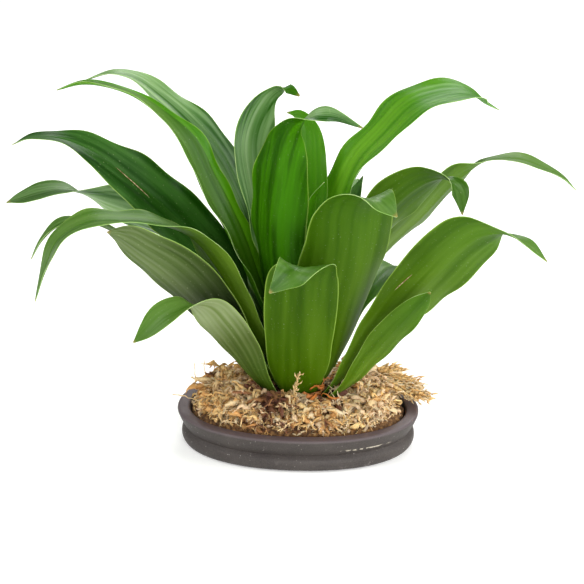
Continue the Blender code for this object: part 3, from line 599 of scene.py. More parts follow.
# %% [markdown]
# ## All the leaves
# The waves along each blade come from the same seeded draw as the solids' waves, so each fine blade
# lies on its solid. A second draw gives what only the fine blade has: the ripple of its edges and
# the patch of streaks that its skin shows. Two UV maps are laid on each: one in millimetres for the
# veins, one in shares for the margin and the tip. One leaf is folded along its midrib, so that one
# half catches the light and the other half is shaded; most of its upper side also takes the darker
# mature skin as painted shade, and only a strip keeps its bright skin, so it takes two skins.

# %% Make the leaves
# On the folded leaf, the upper faces from this column on take the mature skin as painted shade.
SHADED_COLUMNS = 5
SHARP_ANGLE = math.radians(50)


def make_leaves():
    draw, fine_draw = random.Random(11), random.Random(23)
    made = []
    for name, (facing, join_height, skin, midrib) in LEAVES.items():
        keel = FOLDS.get(name, KEEL)
        points, run, widths = blade_surface(facing, join_height, skin, midrib, keel, draw, fine_draw)
        vertices, faces, slots = close_blade(placed(points), run)
        if name in FOLDS:
            skins = np.reshape(slots[:2 * (STATIONS - 1) * (COLUMNS - 1)], (STATIONS - 1, COLUMNS - 1, 2))
            skins[:, SHADED_COLUMNS:, 0] = 3
            slots[:skins.size] = skins.ravel().tolist()
        # The fourth slot: the mature upper skin, painted shade on the folded leaf's shaded part.
        finishes = (UPPER[skin], UNDER[skin], MARGIN, UPPER["mid"])
        leaf = mesh_piece(name + "_blade", vertices, faces, finishes, slots)
        patch = (fine_draw.uniform(0, 9), fine_draw.uniform(0, 9))
        across, along = np.meshgrid(ACROSS, run)
        in_mm = np.stack([across * widths[:, None] / 2 * UV_MM + patch[0], along * UV_MM + patch[1]], -1)
        in_shares = np.stack([(across + 1) / 2, along / run[-1]], -1)
        lay_uv(leaf, "blade_mm", np.tile(in_mm.reshape(-1, 2), (2, 1)))
        lay_uv(leaf, "blade_share", np.tile(in_shares.reshape(-1, 2), (2, 1)))
        leaf.data.set_sharp_from_angle(angle=SHARP_ANGLE)
        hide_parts(name)
        made.append(leaf)
    return made


leaves = make_leaves()
print("leaf triangles:", sum(2 * len(leaf.data.polygons) for leaf in leaves))

# %% [markdown]
# ## The tray's form
# The tray is pressed clay: a slightly squared oval with a flat rim, a groove round the wall and a
# swelling band under it. A Boolean of two ovals would leave hard edges that fired clay never has. So
# one profile of inset and height is smoothed and carried round the oval, with a slow unevenness of a
# few tenths of a millimetre, which is what a hand press leaves. The foot stays flat and true.

# %% Make the tray
RIM_LENGTH = 160.0
RIM_DEPTH = 118.0
TRAY_HEIGHT = 23.5
OVAL_POWER = 2.15
OUTER_WALL = ((9.0, 0.0), (5.4, 0.7), (3.6, 2.6), (2.7, 5.6), (3.2, 8.4), (4.8, 10.0), (5.8, 11.1),
              (4.6, 12.6), (2.4, 16.4), (0.7, 20.2), (0.0, 22.2), (0.6, 23.2), (1.8, TRAY_HEIGHT))
INNER_WALL = ((7.3, TRAY_HEIGHT), (8.2, 22.8), (9.4, 18.0), (11.5, 9.0), (17.0, 5.6))
TRAY_SIDES = 200
PROFILE_PARTS = 60
UNEVEN = 0.22
UNEVEN_ALONG = 0.03
UNEVEN_UP = 0.12
FLAT_FOOT = 3.0


def tube_faces(rings, sides, capped=True):
    """Quads from each ring of points to the next, then a face over each end; a ring is its first index."""
    faces = [(a + i, a + (i + 1) % sides, b + (i + 1) % sides, b + i)
             for a, b in zip(rings, rings[1:]) for i in range(sides)]
    if capped:
        faces.append(tuple(rings[0] + i for i in reversed(range(sides))))
        faces.append(tuple(rings[-1] + i for i in range(sides)))
    return faces


def oval_point(turn, inset, height):
    """A point on the tray's oval, inset from the rim's outer edge."""
    c, s = math.cos(turn), math.sin(turn)
    x = (RIM_LENGTH / 2 - inset) * math.copysign(abs(c) ** (2 / OVAL_POWER), c)
    y = (RIM_DEPTH / 2 - inset) * math.copysign(abs(s) ** (2 / OVAL_POWER), s)
    return (x, y, height)


def make_tray(finish):
    rows = [(inset, height, 0.0) for inset, height in OUTER_WALL + INNER_WALL]
    profile = [curve_at(rows, part) for part in even_parts(rows, PROFILE_PARTS)]
    points = []
    for inset, height, _ in profile:
        for i in range(TRAY_SIDES):
            turn = 2 * math.pi * i / TRAY_SIDES
            x, y, z = oval_point(turn, inset, min(max(height, 0.0), TRAY_HEIGHT))
            slow = noise.noise(Vector((x * UNEVEN_ALONG, y * UNEVEN_ALONG, z * UNEVEN_UP + 4.0)))
            free = min(z / FLAT_FOOT, 1.0)
            inward = 1 - UNEVEN * free * max(slow + 0.4, 0.0) / (RIM_DEPTH / 2)
            points.append((x * inward, y * inward, z))
    faces = tube_faces(range(0, len(points), TRAY_SIDES), TRAY_SIDES)
    tray = mesh_piece("tray_pressed_clay", points, faces, (finish,))
    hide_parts("tray")
    tray.data.set_sharp_from_angle(angle=math.radians(60))
    return tray


print("tray:", RIM_LENGTH, "by", RIM_DEPTH, "by", TRAY_HEIGHT, "mm")

# %% [markdown]
# ## Unglazed fired clay
# This is stoneware clay fired without a glaze: matt and grey-brown, with a fine sandy grain, small
# pale specks of grog and a chalky lime bloom where water has dried. Its grain is about 0.3 mm, drawn
# here at 0.8 mm so that it shows. Just above the groove runs a broken pale line, partly lime and
# partly a painted glint. The rim's edge is burnished by handling, so it is a little smoother, and it
# is painted lighter than the wall, a painted highlight where light from above falls on it.

# %% Clay material
# How many of each mark go in a metre: a cloud is 26 mm, a grain 0.8 mm, a speck 1.6 mm, a group of
# specks 3.3 mm, a chalky patch 13 mm and a break in the pale line of lime and painted glint 2.4 mm.
CLOUDS = 38.0
GRAINS = 1250.0
SPECKS = 620.0
SPECK_GROUPS = 300.0
CHALK_PATCHES = 75.0
LIME_AND_GLINT_BREAKS = 420.0
# The middle of the pale line of lime and painted glint above the groove, and how far off it is still
# whole and quite gone: up the wall, then along it.
LIME_AND_GLINT_LINE = ((14.6, 0.2, 0.8), (46.0, 10.0, 18.0))
CHALK_HEIGHTS = (2.0, 8.0)
RIM_EDGE = (21.6, 23.3)


def mm_range(low, high):
    """The two ends of a range in millimetres, in the metres that a shader reads."""
    return {"From Min": low * MM, "From Max": high * MM}


def fired_clay():
    """Clouded clay, grain, specks, chalky foot, lime line with painted glint, painted highlight on the rim.
    """
    finish, tree = new_finish("unglazed_fired_clay")
    place = add(tree, "TexCoord").outputs["Object"]
    split = add(tree, "SeparateXYZ", {0: place})
    height = split.outputs["Z"]
    cloud = add(tree, "TexNoise", {"Vector": place, "Scale": CLOUDS, "Detail": 4.0})
    grain = add(tree, "TexNoise", {"Vector": place, "Scale": GRAINS, "Detail": 2.0})
    color = add(tree, "ValToRGB", {"Fac": cloud.outputs["Fac"]},
                stops=((0.30, "#292321"), (0.52, "#342e2b"), (0.72, "#413b37"))).outputs[0]
    color = stained(tree, color, "#60564f", grain.outputs["Fac"], 0.35, 0.75, 0.30)

    specks = add(tree, "TexVoronoi", {"Vector": place, "Scale": SPECKS})
    speck = add(tree, "MapRange", {"Value": specks.outputs["Distance"], "From Min": 0.10, "From Max": 0.20,
                                   "To Min": 0.5, "To Max": 0.0}).outputs[0]
    rare = add(tree, "TexNoise", {"Vector": place, "Scale": SPECK_GROUPS, "Detail": 1.0}).outputs["Fac"]
    color = stained(tree, color, "#c9c2bb", rare, 0.58, 0.63, within=speck)

    foot = add(tree, "MapRange", {"Value": height, **mm_range(*CHALK_HEIGHTS), "To Min": 1.0, "To Max": 0.0})
    chalk = add(tree, "TexNoise", {"Vector": place, "Scale": CHALK_PATCHES, "Detail": 5.0, "Roughness": 0.7})
    color = stained(tree, color, "#a39a95", chalk.outputs["Fac"], 0.58, 0.74, 0.6, foot.outputs[0])

    # A broken pale line just above the groove: partly lime, partly a painted glint of light.
    line = 1.0
    for at, (middle, whole, gone) in zip((height, split.outputs["X"]), LIME_AND_GLINT_LINE):
        off = distance(tree, at, middle * MM)
        near = add(tree, "MapRange", {"Value": off, **mm_range(whole, gone), "To Min": 1.0, "To Max": 0.0})
        line = add(tree, "Math", {0: near.outputs[0], 1: line}, operation="MULTIPLY").outputs[0]
    broken = add(tree, "TexNoise", {"Vector": place, "Scale": LIME_AND_GLINT_BREAKS, "Detail": 2.0}).outputs["Fac"]
    color = stained(tree, color, "#c4bba8", broken, 0.46, 0.56, within=line)

    # Painted highlight: the rim's top is painted lighter where light from above falls; its lower roughness is
    # the burnish.
    color = stained(tree, color, "#64555a", height, RIM_EDGE[0] * MM, RIM_EDGE[1] * MM, 0.65)
    gloss = add(tree, "MapRange", {"Value": height, **mm_range(*RIM_EDGE), "To Min": 0.62, "To Max": 0.48})
    relief = add(tree, "Bump", {"Height": grain.outputs["Fac"], "Strength": 0.35, "Distance": 0.0003})
    clay = add(tree, "BsdfPrincipled", {"Base Color": color, "Roughness": gloss.outputs[0], "IOR": 1.5,
                                        "Normal": relief.outputs["Normal"]})
    add(tree, "OutputMaterial", {"Surface": clay.outputs[0]})
    return finish


tray = make_tray(fired_clay())
print("tray faces:", len(tray.data.polygons))

# %% [markdown]
# ## Potting mix
# The soil is damp peat with bark crumbs. Hardly any of it shows, only a dark line between the moss
# and the rim, so its solid stays as it is and gets a dark crumbly finish.

# %% Soil material
def potting_mix():
    """Peat mottled in 6 mm patches, with 2 mm crumbs as relief, dark and quite matt."""
    finish, tree = new_finish("damp_potting_mix")
    place = add(tree, "TexCoord").outputs["Object"]
    crumbs = add(tree, "TexVoronoi", {"Vector": place, "Scale": 480.0})
    peat = add(tree, "TexNoise", {"Vector": place, "Scale": 160.0, "Detail": 5.0})
    color = add(tree, "ValToRGB", {"Fac": peat.outputs["Fac"]},
                stops=((0.30, "#150e09"), (0.52, "#2c1f15"), (0.75, "#4b3826")))
    relief = add(tree, "Bump", {"Height": crumbs.outputs["Distance"], "Strength": 0.9, "Distance": 0.0012})
    mix = add(tree, "BsdfPrincipled", {"Base Color": color.outputs["Color"], "Roughness": 0.95,
                                       "Normal": relief.outputs["Normal"]})
    add(tree, "OutputMaterial", {"Surface": mix.outputs[0]})
    return finish


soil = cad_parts["soil"]
soil.data.materials.clear()
soil.data.materials.append(potting_mix())
print("soil finish:", soil.data.materials[0].name)

# %% [markdown]
# ## The stem
# A dracaena's stem is ringed with the scars of fallen leaves. It is hidden here by the leaf bases
# and the moss, but it can be glimpsed from above, so it gets its rings as real relief.

# %% Make the stem
RING_PITCH = 3.2
RING_DEPTH = 0.22
STEM_SIDES = 40
STEM_ROWS = 120


def scarred_skin():
    """Green skin with dry olive and straw patches 7 mm wide where leaves fell off, nearly matt."""
    patches = ((0.30, "#5c5a2e"), (0.55, "#7b8a48"), (0.75, "#a39a6a"))
    return mottled_finish("scarred_green_stem", 150.0, 4.0, patches, 0.6)


def make_stem():
    points = np.zeros((STEM_ROWS, STEM_SIDES, 3))
    for k in range(STEM_ROWS):
        height = STEM_LOW + (STEM_TOP - STEM_LOW) * k / (STEM_ROWS - 1)
        ring = RING_DEPTH * abs(math.sin(math.pi * height / RING_PITCH)) ** 0.5
        radius = stem_radius(height) - RING_DEPTH + ring
        turn = np.linspace(0, 2 * math.pi, STEM_SIDES, endpoint=False)
        points[k, :, 0] = CROWN_X + radius * np.cos(turn)
        points[k, :, 1] = CROWN_Y + radius * np.sin(turn)
        points[k, :, 2] = height
    faces = tube_faces(range(0, STEM_ROWS * STEM_SIDES, STEM_SIDES), STEM_SIDES)
    stem = mesh_piece("stem_scarred", placed(points).reshape(-1, 3), faces, (scarred_skin(),))
    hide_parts("stem")
    return stem


stem = make_stem()
print("stem faces:", len(stem.data.polygons))

# %% [markdown]
# ## The moss heap
# Shredded dried moss is a springy heap of bent, crinkled sprigs, golden brown where light falls on
# them and dark between them. Hair particles would be lost on export, so each sprig is real mesh: a
# crinkled, flattened stalk with tiny leaflets. Under them lies a dark bed that follows the solid
# heap's lumps, so that no gap shows the tray through the moss; its dark colour is partly peat and
# partly painted shade, the dark between the sprigs. It stays a little under the leaves.

# %% The bed under the sprigs
SOIL_TOP = 18.0
MOSS_EDGE_HEIGHT = 22.6
MOSS_CROWN_HEIGHT = 40.0
MOSS_INSET = 9.9
MOSS_HOLE = 12.4
MOSS_LUMP = 1.7
# How far the bed lies under the heap's height, its least height over the soil, and its underside's.
BED_DROP = 1.8
BED_LEAST = 0.8
BED_FOOT = 0.3
BED_SPOKES = 120
BED_RINGS = 26
LEAF_CLEARANCE = 1.2
LEAF_SEARCH = 60.0


def tree_of(things):
    """One search tree over the faces of several objects, in millimetres."""
    points, faces = [], []
    for thing in things:
        first = len(points)
        points += [vertex.co / MM for vertex in thing.data.vertices]
        faces += [tuple(first + v for v in face.vertices) for face in thing.data.polygons]
    return BVHTree.FromPolygons(points, faces)


def moss_height(x, y, inward):
    """The heap's height: low at the tray's edge, full near the crown, and lumpy all over."""
    rise = (1 - (1 - inward) ** 2) ** 0.7
    lump = noise.noise(Vector((x, y, 3.0)) * 0.16) + 0.5 * noise.noise(Vector((x, y, 9.0)) * 0.34)
    return MOSS_EDGE_HEIGHT + (MOSS_CROWN_HEIGHT - MOSS_EDGE_HEIGHT) * rise + MOSS_LUMP * 1.6 * lump


def make_bed(leaf_tree, finish):
    crown = placed(np.array([CROWN_X, CROWN_Y, 0.0]))
    spokes = []
    for i in range(BED_SPOKES):
        x, y, _ = oval_point(2 * math.pi * i / BED_SPOKES, MOSS_INSET, 0.0)
        turn = math.atan2(y - crown[1], x - crown[0])
        hole = (crown[0] + MOSS_HOLE * math.cos(turn), crown[1] + MOSS_HOLE * math.sin(turn))
        spokes.append(((x, y), hole))
    points = []
    for ring in range(BED_RINGS + 1):
        inward = (ring / BED_RINGS) ** 0.9
        for (x0, y0), (x1, y1) in spokes:
            x, y = x0 + (x1 - x0) * inward, y0 + (y1 - y0) * inward
            height = moss_height(x, y, inward) - BED_DROP
            hit = leaf_tree.ray_cast(Vector((x, y, SOIL_TOP)), Vector((0, 0, 1)), LEAF_SEARCH)[0]
            if hit is not None:
                height = min(height, hit.z - LEAF_CLEARANCE)
            points.append((x, y, max(height, SOIL_TOP + BED_LEAST)))
    top = len(points)
    points += [(*outer, SOIL_TOP + BED_FOOT) for outer, _ in spokes]
    points += [(*hole, SOIL_TOP + BED_FOOT) for _, hole in spokes]
    rings = [*range(0, top, BED_SPOKES), top + BED_SPOKES, top, 0]
    bed = mesh_piece("moss_bed", points, tube_faces(rings, BED_SPOKES, capped=False), (finish,))
    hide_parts("moss")
    return bed


print("bed faces:", BED_SPOKES * (BED_RINGS + 3))

# %% [markdown]
# ## Dried moss
# Sphagnum moss dries to a pale straw gold, and weathered or peaty shreds among it turn reddish or
# dark brown. It is quite matt. Each sprig takes one tint from its UV map, so that one material makes
# the whole heap's mixture, and it darkens a little towards its root, where less light gets in.

# %% Moss material
MOSS_TINTS = ((0.00, "#3c261e"), (0.12, "#80544a"), (0.26, "#d29e62"), (0.42, "#f8ce88"),
              (0.62, "#ffe4a2"), (0.85, "#fff4d0"), (1.00, "#e48a3a"))


def dried_moss():
    """One tint a sprig, mottled in 1.4 mm patches, darker at the root, matt, and some light comes through."""
    finish, tree = new_finish("dried_sphagnum_moss")
    split = add(tree, "SeparateXYZ", {0: add(tree, "UVMap", uv_map="sprig").outputs["UV"]})
    tint = add(tree, "ValToRGB", {"Fac": split.outputs["X"]}, stops=MOSS_TINTS)
    place = add(tree, "TexCoord").outputs["Object"]
    mottle = add(tree, "TexNoise", {"Vector": place, "Scale": 700.0, "Detail": 3.0})
    shade = add(tree, "MapRange", {"Value": mottle.outputs["Fac"], "From Min": 0.3, "From Max": 0.7,
                                   "To Min": 0.80, "To Max": 1.10})
    root = add(tree, "MapRange", {"Value": split.outputs["Y"], "From Max": 0.4, "To Min": 0.65})
    both = add(tree, "Math", {0: shade.outputs[0], 1: root.outputs[0]}, operation="MULTIPLY")
    color = add(tree, "Mix", {"Factor": 1.0, "A": tint.outputs["Color"], "B": both.outputs[0]},
                data_type="RGBA", blend_type="MULTIPLY")
    relief = add(tree, "Bump", {"Height": mottle.outputs["Fac"], "Strength": 0.6, "Distance": 0.0004})
    dry = add(tree, "BsdfPrincipled", {"Base Color": color.outputs["Result"], "Roughness": 0.9,
                                       "Normal": relief.outputs["Normal"]})
    glow = add(tree, "BsdfTranslucent", {"Color": linear("#ffd890")})
    surface = add(tree, "MixShader", {0: 0.38, 1: dry.outputs[0], 2: glow.outputs[0]})
    add(tree, "OutputMaterial", {"Surface": surface.outputs[0]})
    return finish


def peat_and_shade_bed():
    """Packed peaty shreds 2.4 mm wide, matt, with 1 mm relief to look loose, dark also as painted shade."""
    shreds = ((0.35, "#3a2614"), (0.55, "#6f4e2c"), (0.72, "#a07c4a"))
    return mottled_finish("peat_and_painted_shade_bed", 420.0, 5.0, shreds, 0.95, relief=(1.0, 0.001))


leaf_tree = tree_of(leaves)
moss_bed = make_bed(leaf_tree, peat_and_shade_bed())
bed_tree = tree_of([moss_bed])
MOSS = dried_moss()
print("moss finishes:", MOSS.name, "and", moss_bed.data.materials[0].name)

# %% [markdown]
# ## Many strands in one mesh
# An object for each shred of moss would be slow to open and to export. So a small class gathers the
# points and faces of many strands, and makes them one mesh at the end. A strand is a path wrapped in
# a flattened section. Three to five sides are enough, because the pieces are so small that their
# crinkles hide the corners, and so thousands of them stay affordable.

# %% Gather strands
STRAND_SIDES = 4
LEAFLET_SIDES = 3
# Crossed with a strand's direction, this nearly upright one gives the strand's sideways direction.
NEARLY_UP = Vector((0.23, 0.11, 0.97))


class Heap:
    """Collects the vertices, faces and UV pairs of many strands, to become one mesh."""

    def __init__(self):
        self.points, self.faces, self.places = [], [], []

    def strand(self, path, radii, sides, tint, flat, first_share=0.0, twist=0.6):
        """A strand along a path, with a radius at each point, flattened and twisted from point to point.

        Its UV pair is the tint and the share along it.
        """
        start = len(self.points)
        last = len(path) - 1
        for i, here in enumerate(path):
            along = (path[min(i + 1, last)] - path[max(i - 1, 0)]).normalized()
            side = along.cross(NEARLY_UP).normalized()
            over = side.cross(along)
            for k in range(sides):
                turn = 2 * math.pi * k / sides
                sideways, upward = radii[i] * math.cos(turn), radii[i] * flat * math.sin(turn)
                c, s = math.cos(twist * i), math.sin(twist * i)
                turned = side * (sideways * c - upward * s) + over * (sideways * s + upward * c)
                self.points.append(here + turned)
                self.places.append((tint, first_share + (1 - first_share) * i / last))
        self.faces += tube_faces(range(start, start + len(path) * sides, sides), sides)

    def piece(self, name, finish):
        made = mesh_piece(name, [tuple(p) for p in self.points], self.faces, (finish,))
        lay_uv(made, "sprig", self.places)
        return made


print("sides of a strand and of a leaflet:", STRAND_SIDES, LEAFLET_SIDES)

# %% [markdown]
# ## Flakes and sprigs
# Under a lens the shredded moss is of two kinds: torn, curled flakes a few millimetres wide, and
# sprigs, each a short stalk crowded with tiny leaflets. Both start from the same crinkled path. A
# loose piece is kept only if it lies clear of the leaves, and inside the tray's wall or just above
# the inner half of its rim. A simulation could settle them instead, but then the knots further down
# would not stay where they are set.

# %% Build flakes and sprigs
LEAF_GAP = 0.9
# Half the length and half the depth of two ovals: just inside the wall, and along the rim's middle.
INSIDE_WALL = (71.0, 50.0)
RIM_MIDDLE = (76.0, 55.0)
OVER_RIM = TRAY_HEIGHT + 2.2


def crinkled(draw, root, heading, rise, length, curl, crinkle, count):
    """A path that leaves its root at a heading and a rise, curls over and crinkles."""
    path = [root.copy()]
    sway = draw.uniform(-curl, curl)
    for i in range(1, count):
        share = i / (count - 1)
        turn = heading + sway * share
        pitch = rise - curl * 0.9 * share
        step = length / (count - 1)
        move = Vector((math.cos(turn) * math.cos(pitch), math.sin(turn) * math.cos(pitch), math.sin(pitch)))
        shake = Vector((draw.gauss(0, crinkle), draw.gauss(0, crinkle), draw.gauss(0, crinkle)))
        path.append(path[-1] + move * step + shake)
    return path


def within_oval(point, half_length, half_depth):
    """True if a point, seen from above, lies inside an oval round the tray's middle."""
    return math.hypot(point.x / half_length, point.y / half_depth) < 1


def clear_of_leaves(path):
    """True if no stretch of the path passes through a leaf or lies close under one."""
    for a, b in zip(path, path[1:]):
        reach = b - a
        if leaf_tree.ray_cast(a, reach.normalized(), reach.length)[0] is not None:
            return False
        if leaf_tree.find_nearest(b, LEAF_GAP)[0] is not None:
            return False
    return True


def inside_tray(path):
    """True if each point of the path lies inside the tray's wall, or above the inner half of its rim."""
    return all(within_oval(p, *INSIDE_WALL) or p.z > OVER_RIM and within_oval(p, *RIM_MIDDLE) for p in path)


def add_flake(heap, draw, path, width, tint):
    """A torn flake, widest in its middle."""
    last = len(path) - 1
    radii = [width * (0.16 + 0.34 * math.sin(math.pi * i / last)) * draw.uniform(0.5, 1.45)
             for i in range(last + 1)]
    heap.strand(path, radii, STRAND_SIDES, tint, flat=0.3, twist=draw.uniform(-0.9, 0.9))


def add_sprig(heap, draw, path, thickness, tint, leaflets, free=False):
    """A stalk with leaflets all round it; a free one may reach past the tray's rim."""
    last = len(path) - 1
    radii = [thickness * (0.36 - 0.2 * i / last) * draw.uniform(0.8, 1.2) for i in range(last + 1)]
    heap.strand(path, radii, STRAND_SIDES, tint, flat=0.7)
    for _ in range(leaflets):
        where = draw.uniform(0.1, 0.98) * last
        k = int(where)
        foot = path[k].lerp(path[k + 1], where - k)
        onward = (path[k + 1] - path[k]).normalized()
        away = Vector((draw.gauss(0, 1), draw.gauss(0, 1), draw.gauss(0.3, 0.8))).normalized()
        reach = thickness * draw.uniform(0.9, 1.8)
        middle = foot + (away + onward * 0.5) * reach * 0.5
        tip = middle + (away * 0.3 + onward * 0.8) * reach * 0.5
        leaflet = [foot, middle, tip]
        if clear_of_leaves(leaflet) and (free or inside_tray(leaflet)):
            half = thickness * draw.uniform(0.22, 0.42)
            heap.strand(leaflet, (half * 0.7, half, 0.1), LEAFLET_SIDES, tint, flat=0.5, first_share=0.35)


print("half length and half depth of the ovals that hold the heap:", INSIDE_WALL, RIM_MIDDLE)

# %% [markdown]
# ## Two healed scars
# Where a leaf was scratched while it grew, corky tissue closes the wound and dries to a thin pale
# brown ridge. There is one on the long dark leaf's upper side and one on the broad right leaf's
# underside. Each is a strand laid half sunk in its blade, between two places given as shares along
# and across it, so it would follow the blade if the leaf table changed.

# %% Lay the scars
SCARS = (
    ("leaf_left_long_dark", (0.725, 0.525), (0.610, 0.585), 0),
    ("leaf_right_broad", (0.500, 0.190), (0.575, 0.240), 1),
)
SCAR_RADIUS = 0.42
SCAR_END_RADIUS = 0.05
SCAR_LIFT = 0.08
SCAR_POINTS = 10
SCAR_SIDES = 5


def on_blade(leaf, along, across, under):
    """The place on one side of a blade at a share along and a share across it."""
    i, j = along * (STATIONS - 1), across * (COLUMNS - 1)
    corner = int(i) * COLUMNS + int(j)
    sides = []
    for first in (0, STATIONS * COLUMNS):
        a, b, c, d = (leaf.data.vertices[first + corner + k].co / MM for k in (0, 1, COLUMNS, COLUMNS + 1))
        sides.append(a.lerp(b, j - int(j)).lerp(c.lerp(d, j - int(j)), i - int(i)))
    outward = (sides[under] - sides[1 - under]).normalized()
    return sides[under] + outward * SCAR_LIFT


def corky_scar():
    """Dry cork: pale brown, mottled in 1.7 mm patches, matt beside the satin of the leaf."""
    return mottled_finish("dry_corky_scar", 600.0, 2.0, ((0.40, "#8a6844"), (0.60, "#c9b288")), 0.85)


def make_scars():
    heap = Heap()
    for name, first, last, under in SCARS:
        leaf = bpy.data.objects[name + "_blade"]
        shares = np.linspace(first, last, SCAR_POINTS)
        path = [on_blade(leaf, along, across, under) for along, across in shares]
        turns = np.linspace(0, math.pi, SCAR_POINTS)
        radii = [SCAR_END_RADIUS + SCAR_RADIUS * max(math.sin(turn), 0.0) ** 0.6 for turn in turns]
        heap.strand(path, radii, SCAR_SIDES, tint=0.5, flat=0.6, twist=0.0)
    scars = mesh_piece("leaf_scars", [tuple(p) for p in heap.points], heap.faces, (corky_scar(),))
    return scars


scars = make_scars()
print("scar faces:", len(scars.data.polygons))

# %% [markdown]
# ## Where the moss lies and what tint it has
# The heap is a mixture, but not an even one. It thins out at both ends of the tray, where the inner
# wall shows, and it is fluffed up a little along the rim. Four knots stand out, so they are listed
# one by one: two peaty purple-brown ones, a rusty orange one and a hollow whose pieces take the
# darkest tints as painted shade. Each is a middle, a radius, a lowest and a highest tint, and how far
# it swells up. A painted mask could steer all this, but a few numbers are easier to change.

# %% Places and tints
ODD_KNOTS = (
    (-17.0, -27.0, 9.5, 0.04, 0.20, 10.0), (-13.0, -35.0, 8.0, 0.04, 0.18, 8.0),
    # The fourth knot, below, is a hollow: its pieces take the darkest tints as painted shade.
    (13.5, -20.0, 7.5, 0.95, 1.0, 15.0), (24.0, -21.0, 4.5, 0.0, 0.10, 0.0),
)
HEAP_REACH = (0.88, 0.86)
# Past these two places most draws are dropped, at the right only those in front of THIN_RIGHT_BACK.
THIN_LEFT = -61.0
THIN_RIGHT = 57.0
THIN_RIGHT_BACK = 16.0
THIN_SHARE = 0.85
# Past this share of the way out, a place is lifted by up to EDGE_LIFT.
EDGE_SHARE = 0.85
EDGE_LIFT = 4.5
ABOVE_HEAP = 80.0
BED_SEARCH = 70.0


def tint_at(draw, x, y, middle):
    """A tint about the middle one, or the odd knot's tint where the place lies in one."""
    for cx, cy, radius, low, high, _ in ODD_KNOTS:
        if math.hypot(x - cx, y - cy) < radius and draw.random() < 0.95:
            return draw.uniform(low, high)
    return min(max(draw.gauss(middle, 0.15), 0.10), 0.88)


def on_bed(x, y):
    """The place on the bed under a point, or None outside the bed."""
    hit = bed_tree.ray_cast(Vector((x, y, ABOVE_HEAP)), Vector((0, 0, -1)), BED_SEARCH)[0]
    return None if hit is None else Vector((x, y, hit.z))


def heap_place(draw):
    """A random place on the heap, or None where the draw misses it."""
    turn, out = draw.uniform(0, 2 * math.pi), draw.uniform(0.02, 1.0) ** 0.42
    x, y, _ = oval_point(turn, 0.0, 0.0)
    x, y = x * out * HEAP_REACH[0], y * out * HEAP_REACH[1]
    thin = x < THIN_LEFT or x > THIN_RIGHT and y < THIN_RIGHT_BACK
    if thin and draw.random() < THIN_SHARE:
        return None
    place = on_bed(x, y)
    if place and out > EDGE_SHARE:
        place.z += draw.uniform(0.0, EDGE_LIFT)
    return place


print("the odd knots' middles on the bed:", [on_bed(x, y).to_tuple(1) for x, y, *_ in ODD_KNOTS])

# %% [markdown]
# ## Spread the moss
# Shredded moss clings together in knots, and the dark gaps between the knots are what makes the heap
# look springy. So a seeded draw sets knots of flakes and sprigs all over the heap first, each knot in
# a tint of its own, and then loose flakes and sprigs between them. The heap is kept as a left and a
# right half of each kind, so that no single mesh grows too large.

# %% Fill the heap
KNOTS = 130
KNOT_FLAKES = 22
KNOT_SPRIGS = 7
KNOT_GAP = 6.2
KNOT_SPREAD = 2.0
KNOT_FLAKE_WIDTH = 4.6
LOOSE_FLAKES = 800
LOOSE_SPRIGS = 220
LOOSE_FLAKE_WIDTH = 3.4


def loose_path(draw, root, rise, longest, curls, crinkle, count):
    """A crinkled path with a drawn heading, length and curl, or None where it hits something."""
    path = crinkled(draw, root, draw.uniform(0, 2 * math.pi), rise, draw.uniform(7.0, longest),
                    draw.uniform(*curls), crinkle, count)
    return path if inside_tray(path) and clear_of_leaves(path) else None


def loose_flake(heap, draw, root, middle, rise, most_width=LOOSE_FLAKE_WIDTH):
    path = loose_path(draw, root, rise, longest=17.0, curls=(0.8, 2.6), crinkle=0.85, count=8)
    if path:
        add_flake(heap, draw, path, draw.uniform(1.5, most_width), tint_at(draw, root.x, root.y, middle))
    return bool(path)


def loose_sprig(heap, draw, root, middle, rise):
    path = loose_path(draw, root, rise, longest=15.0, curls=(0.5, 2.0), crinkle=0.65, count=7)
    if path:
        thickness = draw.uniform(1.5, 2.7)
        add_sprig(heap, draw, path, thickness, tint_at(draw, root.x, root.y, middle), leaflets=9)
    return bool(path)


def fill_knots(draw, flakes, sprigs):
    """Knots of flakes and sprigs, the odd ones first, each swelling up by its own lift."""
    places = [on_bed(x, y) for x, y, *_ in ODD_KNOTS]
    while len(places) < KNOTS:
        place = heap_place(draw)
        if place and all((place - other).length > KNOT_GAP for other in places):
            places.append(place)
    lifts = [knot[-1] for knot in ODD_KNOTS] + [draw.uniform(0.5, 8.5) for _ in range(KNOTS)]
    for place, lift in zip(places, lifts):
        # Each knot's tint rises toward the right: painted light, the heap painted paler where light from the
        # right falls.
        middle, half = draw.gauss(0.70, 0.20) + place.x * 0.002, place.x > 0
        for k in range(KNOT_FLAKES + KNOT_SPRIGS):
            aside = draw.gauss(0, KNOT_SPREAD), draw.gauss(0, KNOT_SPREAD)
            root = place + Vector((*aside, draw.uniform(-0.5, lift)))
            if k < KNOT_FLAKES:
                loose_flake(flakes[half], draw, root, middle, draw.uniform(0.0, 1.2), KNOT_FLAKE_WIDTH)
            else:
                loose_sprig(sprigs[half], draw, root, middle, draw.uniform(0.1, 0.9))


def fill_between(draw, maker, halves, wanted):
    """Loose pieces of one kind, until as many as wanted have found a place."""
    made = 0
    while made < wanted:
        place = heap_place(draw)
        if place:
            middle, rise = draw.gauss(0.66, 0.18), draw.uniform(-0.1, 0.8)
            made += maker(halves[place.x > 0], draw, place, middle, rise)


